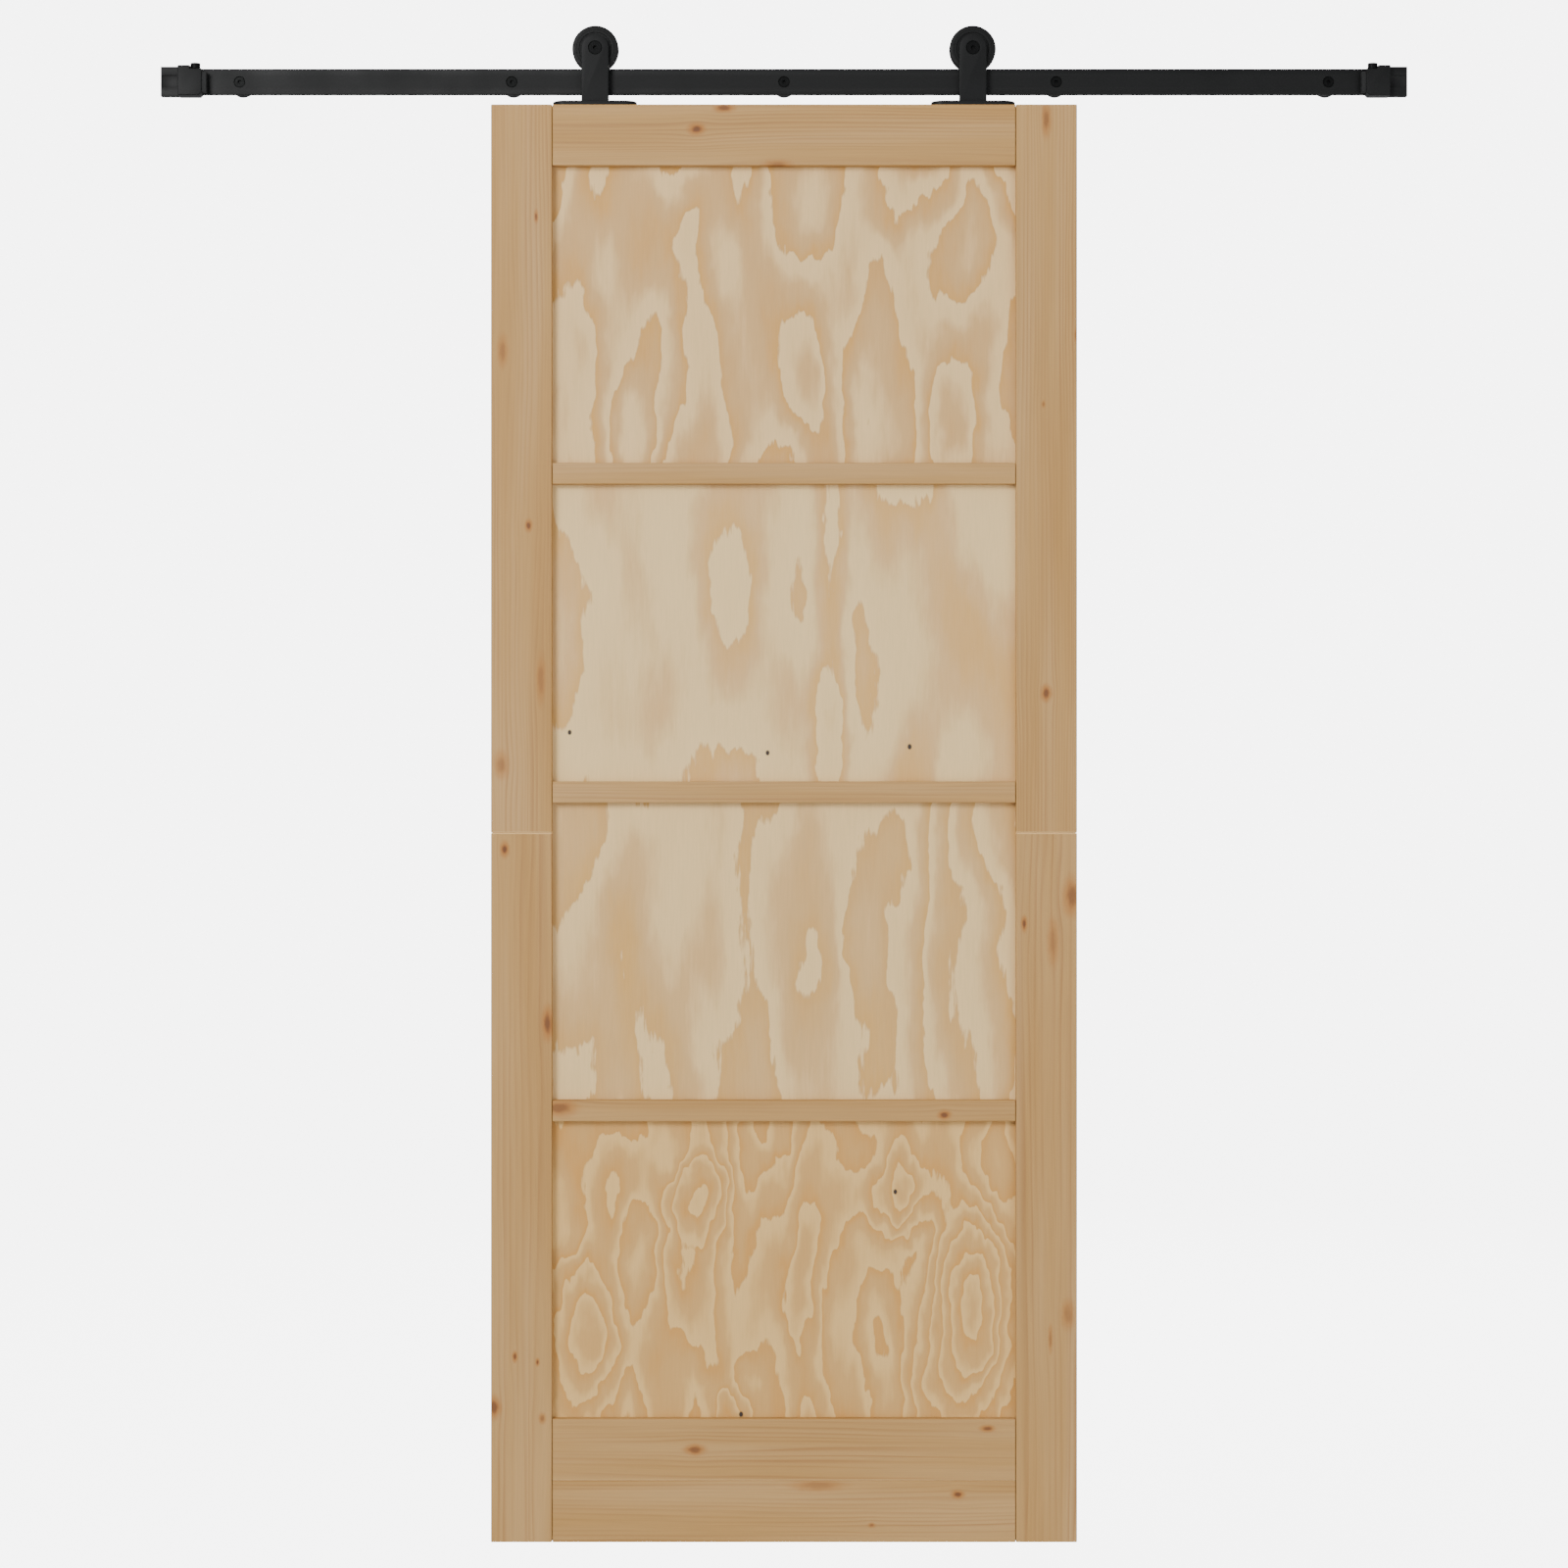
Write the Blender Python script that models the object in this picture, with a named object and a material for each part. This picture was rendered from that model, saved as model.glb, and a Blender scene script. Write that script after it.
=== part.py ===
"""A top-hung sliding barn door: a framed pine leaf that rolls on two grooved wheels along a flat rail.

The wall is the plane y = 0 and the viewer stands at -Y. The origin is where the rail's middle
fixing meets the wall, +X runs along the rail and +Z is up. All lengths are metres.
"""

import math

import bmesh
import bpy

MM = 0.001
TOUCH = 0.3 * MM  # left between pieces that rest on, or fit into, each other

# rail and its wall fixings
RAIL_LENGTH = 1830 * MM
RAIL_HEIGHT = 38 * MM
RAIL_THICKNESS = 6 * MM
RAIL_ARRIS = 0.6 * MM
FIXING_COUNT = 5
FIXING_PITCH = 400 * MM
SPACER_LENGTH = 30 * MM
SPACER_NECK = 12.5 * MM  # radius behind the rail, clear of the wheels' rear flanges
SPACER_FOOT = 16.5 * MM  # radius on the wall
SPACER_FOOT_DEPTH = 14 * MM
LAG_SHANK = 4 * MM
LAG_HEAD = 7.5 * MM
LAG_LENGTH = 95 * MM
LAG_TIP = 8 * MM
LAG_SOCKET = 5 * MM
LAG_SOCKET_DEPTH = 3 * MM

# wheels and bearings
WHEEL_RADIUS = 34 * MM
WHEEL_WIDTH = 18 * MM
GROOVE_ROOT = 28.5 * MM
RAIL_SIDE_GAP = 1.0 * MM  # each side, between the rail's faces and the groove
GROOVE_FLARE = 1.0 * MM
WHEEL_ARRIS = 1.5 * MM
DISH_OUTER = 26 * MM  # radius of the shallow dish in the wheel's rear face
DISH_DEPTH = 2 * MM
BEARING_RADIUS = 13 * MM
BEARING_WIDTH = 8 * MM
BALL_RADIUS = 2.4 * MM
BALL_CIRCLE = 9 * MM
BALL_COUNT = 7
CAGE_HALF_DEPTH = 0.9 * MM  # of the ring that the balls sit in, across and along the axle
SHOULDER_RADIUS = 7.2 * MM  # of the inner ring and the pieces that clamp it

# hangers
HANGER_PITCH = 554 * MM
STRAP_WIDTH = 40 * MM
STRAP_THICKNESS = 6 * MM
STRAP_ARRIS = 1.0 * MM
STRAP_GAP = 1.0 * MM  # between strap and wheel
BASE_LENGTH = 123 * MM
BASE_WIDTH = 35 * MM
BASE_THICKNESS = 6 * MM
AXLE_RADIUS = 4.9 * MM
AXLE_BOLT_LENGTH = 33 * MM
AXLE_TIP = 1 * MM
AXLE_SOCKET = 6 * MM
AXLE_SOCKET_DEPTH = 3.5 * MM
NUT_ACROSS_FLATS = 17 * MM
NUT_HEIGHT = 8 * MM
WASHER_THICKNESS = 2 * MM
PLATE_SCREW_OFFSETS = (-50 * MM, -31 * MM, 31 * MM, 50 * MM)
PLATE_SCREW_SHANK = 2.4 * MM
PLATE_SCREW_HEAD = 4.6 * MM
PLATE_SCREW_LENGTH = 45 * MM
PLATE_SCREW_TIP = 7 * MM
PLATE_SCREW_SOCKET = 3 * MM
PLATE_SCREW_SOCKET_DEPTH = 2 * MM

# end stops, each a saddle round the rail's end: a thin tail, then a collar, then a lower head
TAIL_LENGTH = 26.3 * MM
COLLAR_LENGTH = 17.6 * MM
HEAD_LENGTH = 17.7 * MM
TAIL_WALL = 2.2 * MM  # over and under the rail
COLLAR_WALL = 2.6 * MM
COLLAR_SLOPE = 2.9 * MM  # height of the chamfer at the collar's outer corners
TAIL_FRONT_WALL = 3.4 * MM
HEAD_FRONT_WALL = 14 * MM
STOP_BACK_WALL = 3.5 * MM
TAIL_BACK_WALL = 2.3 * MM
HEAD_DROP = 2 * MM  # how far the head's top lies below the rail's top
STOP_ARRIS = 2.4 * MM
TAIL_RECESS_LENGTH = 22.5 * MM
TAIL_RECESS_HEIGHT = 18 * MM
TAIL_RECESS_DEPTH = 1.8 * MM
STOP_CORNER = 4.5 * MM
STOP_SCREW_RADIUS = 4 * MM
STOP_SCREW_INSET = 10.1 * MM  # from the head's face to the screw's middle
STOP_SCREW_HEAD = 7.2 * MM
STOP_SCREW_HEAD_HEIGHT = 8 * MM
STOP_SCREW_LENGTH = 22 * MM  # under the head
STOP_SCREW_SOCKET = 6 * MM
STOP_SCREW_SOCKET_DEPTH = 4 * MM
SCREW_ARRIS = 0.6 * MM  # round the top of a cap screw's head
BUMPER_PROUD = 6.5 * MM
BUMPER_HEIGHT = 30 * MM
BUMPER_WIDTH = 11 * MM
BUMPER_ROUND = 2.6 * MM
STEM_RADIUS = 3 * MM
STEM_LENGTH = 4 * MM

# leaf
LEAF_WIDTH = 856 * MM
LEAF_HEIGHT = 2100 * MM
LEAF_THICKNESS = 40 * MM
LEAF_DROP = 20 * MM  # from the rail's lower edge to the leaf's top
STILE_WIDTH = 89 * MM
UPPER_STILE_LENGTH = 1064 * MM
TOP_RAIL_HEIGHT = 89 * MM
BOTTOM_BOARD_HEIGHT = 90 * MM
CROSS_BAR_HEIGHT = 31 * MM
PANEL_COUNT = 4
PANEL_THICKNESS = 9 * MM
GROOVE_DEPTH = 10 * MM
GROOVE_SPARE = 0.8 * MM  # between a tongue or panel edge and the bottom of its groove
BOARD_ARRIS = 0.9 * MM
SHOULDER_GAP = 0.8 * MM  # between the bars' ends and the stiles
LOOSE_TONGUE_WIDTH = 48 * MM
LOOSE_TONGUE_LENGTH = 60 * MM
LOOSE_TONGUE_THICKNESS = 9 * MM
MORTICE_SPARE = 0.6 * MM  # past each end of a loose tongue
KEY_INSET = 4 * MM  # from the ends of the bottom boards to those of the key that joins them

# clearances and small common values
SCREW_GAP = 0.45 * MM  # radial, round screws in plain holes and countersinks
HEAD_LAND = 0.5 * MM  # straight edge of a countersunk head
HEAD_SINK = 0.6 * MM  # a countersunk head lies this far below its surface
OVERSHOOT = 2 * MM  # a cutter runs this far past the face it cuts
ROUND_SEGMENTS = 20
WHEEL_SEGMENTS = 32
STRAP_STEPS = 16  # round the strap's top
BASE_STEPS = 8  # round each end of the base plate
RACE_STEPS = 4
HOLE_SEGMENTS = 16  # of the rail's holes
SMALL_SEGMENTS = 10

# worked out: across the wall, y is negative towards the viewer
RAIL_BACK = -(SPACER_LENGTH + TOUCH)
RAIL_FRONT = RAIL_BACK - RAIL_THICKNESS
RAIL_MIDDLE = (RAIL_BACK + RAIL_FRONT) / 2
STRAP_BACK = RAIL_MIDDLE - WHEEL_WIDTH / 2 - STRAP_GAP
STRAP_FRONT = STRAP_BACK - STRAP_THICKNESS
LEAF_MIDDLE = (STRAP_BACK + STRAP_FRONT) / 2
BEARING_FRONT = RAIL_MIDDLE - BEARING_WIDTH / 2
BEARING_BACK = RAIL_MIDDLE + BEARING_WIDTH / 2
HEAD_FRONT = RAIL_FRONT - TOUCH - HEAD_FRONT_WALL
AXLE_HEAD = AXLE_RADIUS + STRAP_THICKNESS - HEAD_SINK - HEAD_LAND - TOUCH  # its cone ends in the strap

# worked out: heights
AXLE_HEIGHT = RAIL_HEIGHT / 2 + TOUCH + GROOVE_ROOT
LEAF_TOP = -RAIL_HEIGHT / 2 - LEAF_DROP
LEAF_BOTTOM = LEAF_TOP - LEAF_HEIGHT
BASE_BOTTOM = LEAF_TOP + TOUCH
BASE_TOP = BASE_BOTTOM + BASE_THICKNESS
OPENING_HEIGHT = LEAF_HEIGHT - TOP_RAIL_HEIGHT - 2 * BOTTOM_BOARD_HEIGHT
BAR_COUNT = PANEL_COUNT - 1
PANEL_SIGHT_HEIGHT = (OPENING_HEIGHT - BAR_COUNT * CROSS_BAR_HEIGHT) / PANEL_COUNT
INNER_WIDTH = LEAF_WIDTH - 2 * STILE_WIDTH
TONGUE_REACH = GROOVE_DEPTH - GROOVE_SPARE
GROOVE_WIDTH = PANEL_THICKNESS + 2 * TOUCH
HEAD_TOP = RAIL_HEIGHT / 2 - HEAD_DROP
COLLAR_TOP = RAIL_HEIGHT / 2 + TOUCH + COLLAR_WALL
STOP_LENGTH = TAIL_LENGTH + COLLAR_LENGTH + HEAD_LENGTH

TOWARDS_WALL = (-math.pi / 2, 0, 0)  # turns a piece's own +Z to world +Y
DOWN = (math.pi, 0, 0)
SIDES = (("left", -1), ("right", 1))


def clear_scene():
    for thing in list(bpy.data.objects):
        bpy.data.objects.remove(thing, do_unlink=True)


def finish(name, colour, roughness, metallic=0.0):
    made = bpy.data.materials.new(name)
    made.use_nodes = True
    shader = made.node_tree.nodes["Principled BSDF"]
    shader.inputs["Base Color"].default_value = (*colour, 1.0)
    shader.inputs["Roughness"].default_value = roughness
    shader.inputs["Metallic"].default_value = metallic
    return made


def place(name, shape, coat, location, rotation=(0, 0, 0), parent=None):
    """An object that shows the bmesh, with its origin at location, seen from its parent."""
    mesh = bpy.data.meshes.new(name)
    bmesh.ops.recalc_face_normals(shape, faces=shape.faces)
    shape.to_mesh(mesh)
    shape.free()
    if coat:
        mesh.materials.append(coat)
    piece = bpy.data.objects.new(name, mesh)
    bpy.context.collection.objects.link(piece)
    piece.location = location
    piece.rotation_euler = rotation
    piece.parent = parent
    return piece


def pivot(name, location, parent=None):
    """An empty that the pieces of one moving body hang from."""
    axis = bpy.data.objects.new(name, None)
    bpy.context.collection.objects.link(axis)
    axis.location = location
    axis.parent = parent
    return axis


def combine(piece, other, operation):
    """Adds the other object to the piece, or takes it away, and keeps the other out of the model."""
    change = piece.modifiers.new(other.name, "BOOLEAN")
    change.operation = operation
    change.solver = "EXACT"
    change.object = other
    other.hide_render = True
    other.display_type = "WIRE"


def cut(piece, shape, location, rotation=(0, 0, 0)):
    name = f"{piece.name}_cut_{len(piece.modifiers)}"
    combine(piece, place(name, shape, None, location, rotation, piece.parent), "DIFFERENCE")


def weld_on(piece, shape, location, rotation=(0, 0, 0)):
    name = f"{piece.name}_add_{len(piece.modifiers)}"
    combine(piece, place(name, shape, None, location, rotation, piece.parent), "UNION")


def block(width, depth, height, arris=0.0):
    """A box round its own centre, with every edge chamfered by arris."""
    shape = bmesh.new()
    bmesh.ops.create_cube(shape, size=1.0)
    bmesh.ops.scale(shape, vec=(width, depth, height), verts=shape.verts)
    if arris:
        bmesh.ops.bevel(shape, geom=list(shape.edges), offset=arris, segments=1, affect="EDGES")
    return shape


def turned(profile, segments=ROUND_SEGMENTS, ring=False):
    """A profile of (radius, height) points turned round Z; a ring's profile is a closed loop."""
    shape = bmesh.new()
    points = [shape.verts.new((radius, 0, height)) for radius, height in profile]
    pairs = list(zip(points, points[1:]))
    if ring:
        pairs.append((points[-1], points[0]))
    edges = [shape.edges.new(pair) for pair in pairs]
    bmesh.ops.spin(
        shape,
        geom=points + edges,
        cent=(0, 0, 0),
        axis=(0, 0, 1),
        angle=2 * math.pi,
        steps=segments,
        use_merge=True,
    )
    bmesh.ops.remove_doubles(shape, verts=shape.verts, dist=1e-6)
    return shape


def prism(outline, depth, front_arris=0.0):
    """An outline of (x, y) points pushed up by depth, with the edge round its top chamfered."""
    shape = bmesh.new()
    base = shape.faces.new([shape.verts.new((x, y, 0)) for x, y in outline])
    made = bmesh.ops.extrude_face_region(shape, geom=[base])["geom"]
    raised = [item for item in made if isinstance(item, bmesh.types.BMVert)]
    bmesh.ops.translate(shape, vec=(0, 0, depth), verts=raised)
    if front_arris:
        rim = [item for item in made if isinstance(item, bmesh.types.BMEdge)]
        bmesh.ops.bevel(shape, geom=rim, offset=front_arris, segments=1, affect="EDGES")
    return shape


def arc(centre_x, centre_y, radius, start, end, steps):
    """Points along an arc, with both ends, angles in degrees."""
    angles = [math.radians(start + (end - start) * i / steps) for i in range(steps + 1)]
    return [(centre_x + radius * math.cos(a), centre_y + radius * math.sin(a)) for a in angles]


def hexagon(across_flats):
    return arc(0, 0, across_flats / math.sqrt(3), 0, 300, 5)


def tube(outer, inner, length, segments=ROUND_SEGMENTS):
    return turned([(outer, 0), (outer, length), (inner, length), (inner, 0)], segments, ring=True)


def rod(radius, start, end, segments=ROUND_SEGMENTS):
    return turned([(0, start), (radius, start), (radius, end), (0, end)], segments)


def countersunk_screw(head, shank, length, tip, segments=ROUND_SEGMENTS):
    """A countersunk screw from the centre of its head's face along +Z, with a tip of 45 degrees or less."""
    cone_end = HEAD_LAND + head - shank
    blunt = max(shank - tip, shank / 4)
    profile = [(0, 0), (head, 0), (head, HEAD_LAND), (shank, cone_end)]
    profile += [(shank, length - tip), (blunt, length), (0, length)]
    return turned(profile, segments)


def countersunk_hole(head, shank, depth, segments=ROUND_SEGMENTS):
    """The hole for such a screw, from the surface its head lies under along +Z."""
    wide, narrow = head + SCREW_GAP, shank + SCREW_GAP
    cone_start = HEAD_SINK + HEAD_LAND
    profile = [(0, -OVERSHOOT), (wide, -OVERSHOOT), (wide, cone_start)]
    profile += [(narrow, cone_start + wide - narrow), (narrow, depth), (0, depth)]
    return turned(profile, segments)


def socket(across_flats, depth):
    """A hexagon socket's cutter, from a face into +Z."""
    return prism(hexagon(across_flats), depth + OVERSHOOT)


def fixing_places():
    first = -(FIXING_COUNT - 1) / 2 * FIXING_PITCH
    return [first + i * FIXING_PITCH for i in range(FIXING_COUNT)]


def build_rail(coats):
    rail = place(
        "rail",
        block(RAIL_LENGTH, RAIL_THICKNESS, RAIL_HEIGHT, RAIL_ARRIS),
        coats["black_steel"],
        (0, RAIL_MIDDLE, 0),
    )
    for x in fixing_places():
        hole = countersunk_hole(LAG_HEAD, LAG_SHANK, RAIL_THICKNESS + OVERSHOOT, HOLE_SEGMENTS)
        cut(rail, hole, (x, RAIL_FRONT, 0), TOWARDS_WALL)


def build_fixings(coats):
    """The spacers that hold the rail off the wall, and the screws that go through both."""
    bore = LAG_SHANK + SCREW_GAP
    flare = SPACER_LENGTH - SPACER_FOOT_DEPTH - (SPACER_FOOT - SPACER_NECK)
    outline = [(SPACER_NECK, 0), (SPACER_NECK, flare), (SPACER_FOOT, SPACER_LENGTH - SPACER_FOOT_DEPTH)]
    outline += [(SPACER_FOOT, SPACER_LENGTH), (bore, SPACER_LENGTH), (bore, 0)]
    for number, x in enumerate(fixing_places(), start=1):
        place(
            f"spacer_{number}",
            turned(outline, ring=True),
            coats["black_steel"],
            (x, -SPACER_LENGTH, 0),
            TOWARDS_WALL,
        )
        face = RAIL_FRONT + HEAD_SINK
        screw = place(
            f"lag_screw_{number}",
            countersunk_screw(LAG_HEAD, LAG_SHANK, LAG_LENGTH, LAG_TIP),
            coats["black_screw"],
            (x, face, 0),
            TOWARDS_WALL,
        )
        driver = socket(LAG_SOCKET, LAG_SOCKET_DEPTH)
        cut(screw, driver, (x, face - OVERSHOOT, 0), TOWARDS_WALL)


def build_stop(coats, side, sign):
    """One end stop: the saddle, its cap screw and the rubber bumper that the strap meets."""
    outer = RAIL_LENGTH / 2
    face = outer - STOP_LENGTH
    corner = COLLAR_TOP - COLLAR_SLOPE
    collar_start = HEAD_LENGTH
    collar_end = HEAD_LENGTH + COLLAR_LENGTH
    outline = [
        (0, STOP_CORNER - COLLAR_TOP),
        (STOP_CORNER, -COLLAR_TOP),
        (collar_end - STOP_ARRIS, -COLLAR_TOP),
        (collar_end, -corner),
        (collar_end, corner),
        (collar_end - STOP_ARRIS, COLLAR_TOP),
        (collar_start, COLLAR_TOP),
        (collar_start, HEAD_TOP),
        (STOP_ARRIS, HEAD_TOP),
        (0, HEAD_TOP - STOP_ARRIS),
    ]
    back = RAIL_BACK + TOUCH + STOP_BACK_WALL
    body = place(
        f"stop_body_{side}",
        prism([(sign * x, z) for x, z in outline], back - HEAD_FRONT, STOP_ARRIS),
        coats["black_steel"],
        (sign * face, back, 0),
        (math.pi / 2, 0, 0),
    )
    tail_front = RAIL_FRONT - TOUCH - TAIL_FRONT_WALL
    tail_back = RAIL_BACK + TOUCH + TAIL_BACK_WALL
    tail_size = TAIL_LENGTH + COLLAR_LENGTH / 2
    tail_height = RAIL_HEIGHT + 2 * (TOUCH + TAIL_WALL)
    tail = block(tail_size, tail_back - tail_front, tail_height, RAIL_ARRIS)
    weld_on(body, tail, (sign * (outer - tail_size / 2), (tail_back + tail_front) / 2, 0))
    slot_length = STOP_LENGTH + 2 * OVERSHOOT
    slot = block(slot_length, RAIL_THICKNESS + 2 * TOUCH, RAIL_HEIGHT + 2 * TOUCH)
    cut(body, slot, (sign * (outer - STOP_LENGTH / 2), RAIL_MIDDLE, 0))
    recess = block(TAIL_RECESS_LENGTH, 2 * TAIL_RECESS_DEPTH, TAIL_RECESS_HEIGHT)
    cut(body, recess, (sign * (outer - TAIL_LENGTH / 2), tail_front, 0))

    screw_x = sign * (face + STOP_SCREW_INSET)
    screw_y = RAIL_FRONT - TOUCH - HEAD_FRONT_WALL / 2
    hole = rod(STOP_SCREW_RADIUS + SCREW_GAP, -OVERSHOOT, STOP_SCREW_LENGTH + TOUCH)
    cut(body, hole, (screw_x, screw_y, HEAD_TOP), DOWN)
    top = HEAD_TOP + TOUCH + STOP_SCREW_HEAD_HEIGHT
    end = STOP_SCREW_HEAD_HEIGHT + STOP_SCREW_LENGTH
    profile = [(0, 0), (STOP_SCREW_HEAD - SCREW_ARRIS, 0), (STOP_SCREW_HEAD, SCREW_ARRIS)]
    profile += [(STOP_SCREW_HEAD, STOP_SCREW_HEAD_HEIGHT), (STOP_SCREW_RADIUS, STOP_SCREW_HEAD_HEIGHT)]
    profile += [(STOP_SCREW_RADIUS, end), (0, end)]
    screw = place(
        f"stop_screw_{side}", turned(profile), coats["black_screw"], (screw_x, screw_y, top), DOWN
    )
    driver = socket(STOP_SCREW_SOCKET, STOP_SCREW_SOCKET_DEPTH)
    cut(screw, driver, (screw_x, screw_y, top + OVERSHOOT), DOWN)

    middle_height = (HEAD_TOP - COLLAR_TOP) / 2
    inwards = (0, -sign * math.pi / 2, 0)
    hole = rod(STEM_RADIUS + TOUCH, -STEM_LENGTH - TOUCH, OVERSHOOT)
    cut(body, hole, (sign * face, screw_y, middle_height), inwards)
    dome = [(-BUMPER_HEIGHT / 2, -BUMPER_WIDTH / 2), (BUMPER_HEIGHT / 2, -BUMPER_WIDTH / 2)]
    dome += [(BUMPER_HEIGHT / 2, BUMPER_WIDTH / 2), (-BUMPER_HEIGHT / 2, BUMPER_WIDTH / 2)]
    bumper = place(
        f"stop_bumper_{side}",
        prism(dome, BUMPER_PROUD - TOUCH, BUMPER_ROUND),
        coats["rubber"],
        (sign * (face - TOUCH), screw_y, middle_height),
        inwards,
    )
    stem = rod(STEM_RADIUS, -STEM_LENGTH, OVERSHOOT)
    weld_on(bumper, stem, (sign * (face - TOUCH), screw_y, middle_height), inwards)


def build_hanger(coats, side, sign, leaf):
    """The strap with its base plate, the axle and all that the axle clamps, and the base's screws."""
    x = sign * HANGER_PITCH / 2
    half = STRAP_WIDTH / 2
    weld = BASE_THICKNESS / 2
    outline = [(-half, BASE_TOP - weld), (half, BASE_TOP - weld)]
    outline += arc(0, AXLE_HEIGHT, half, 0, 180, STRAP_STEPS)
    plate = place(
        f"hanger_plate_{side}",
        prism(outline, STRAP_THICKNESS, STRAP_ARRIS),
        coats["black_steel"],
        (x, STRAP_BACK, 0),
        (math.pi / 2, 0, 0),
        leaf,
    )
    end = (BASE_LENGTH - BASE_WIDTH) / 2
    stadium = arc(end, 0, BASE_WIDTH / 2, -90, 90, BASE_STEPS)
    stadium += arc(-end, 0, BASE_WIDTH / 2, 90, 270, BASE_STEPS)
    weld_on(plate, prism(stadium, BASE_THICKNESS, RAIL_ARRIS), (x, LEAF_MIDDLE, BASE_BOTTOM))
    axle_hole = countersunk_hole(AXLE_HEAD, AXLE_RADIUS, STRAP_THICKNESS + OVERSHOOT)
    cut(plate, axle_hole, (x, STRAP_FRONT, AXLE_HEIGHT), TOWARDS_WALL)

    face = STRAP_FRONT + HEAD_SINK
    bolt = place(
        f"axle_bolt_{side}",
        countersunk_screw(AXLE_HEAD, AXLE_RADIUS, AXLE_BOLT_LENGTH, AXLE_TIP),
        coats["black_screw"],
        (x, face, AXLE_HEIGHT),
        TOWARDS_WALL,
        leaf,
    )
    driver = socket(AXLE_SOCKET, AXLE_SOCKET_DEPTH)
    cut(bolt, driver, (x, face - OVERSHOOT, AXLE_HEIGHT), TOWARDS_WALL)

    bore = AXLE_RADIUS + TOUCH
    spacer_length = BEARING_FRONT - STRAP_BACK - 2 * TOUCH
    ring_back = BEARING_BACK + TOUCH
    nut_front = ring_back + WASHER_THICKNESS + TOUCH
    clamped = (
        ("axle_spacer", STRAP_BACK + TOUCH, spacer_length),
        ("axle_washer", ring_back, WASHER_THICKNESS),
    )
    for name, start, length in clamped:
        ring = tube(SHOULDER_RADIUS, bore, length)
        place(f"{name}_{side}", ring, coats["zinc"], (x, start, AXLE_HEIGHT), TOWARDS_WALL, leaf)
    nut = place(
        f"axle_nut_{side}",
        prism(hexagon(NUT_ACROSS_FLATS), NUT_HEIGHT, RAIL_ARRIS),
        coats["zinc"],
        (x, nut_front, AXLE_HEIGHT),
        TOWARDS_WALL,
        leaf,
    )
    thread = rod(bore, -OVERSHOOT, NUT_HEIGHT + OVERSHOOT)
    cut(nut, thread, (x, nut_front, AXLE_HEIGHT), TOWARDS_WALL)

    for number, offset in enumerate(PLATE_SCREW_OFFSETS, start=1):
        sizes = (PLATE_SCREW_HEAD, PLATE_SCREW_SHANK)
        hole = countersunk_hole(*sizes, BASE_THICKNESS + OVERSHOOT, SMALL_SEGMENTS)
        cut(plate, hole, (x + offset, LEAF_MIDDLE, BASE_TOP), DOWN)
        top = BASE_TOP - HEAD_SINK
        screw = place(
            f"plate_screw_{side}_{number}",
            countersunk_screw(*sizes, PLATE_SCREW_LENGTH, PLATE_SCREW_TIP, SMALL_SEGMENTS),
            coats["zinc"],
            (x + offset, LEAF_MIDDLE, top),
            DOWN,
            leaf,
        )
        driver = socket(PLATE_SCREW_SOCKET, PLATE_SCREW_SOCKET_DEPTH)
        cut(screw, driver, (x + offset, LEAF_MIDDLE, top + OVERSHOOT), DOWN)


def raceway(edge, towards):
    """Points of a ball groove in a ring's edge; towards is 1 in the outer ring and -1 in the inner."""
    radius = BALL_RADIUS + TOUCH
    start = math.degrees(math.acos(abs(edge - BALL_CIRCLE) / radius))
    centre_angle = 0 if towards > 0 else 180
    points = arc(BALL_CIRCLE, 0, radius, centre_angle - start, centre_angle + start, RACE_STEPS)
    return points if towards > 0 else points[::-1]


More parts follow.
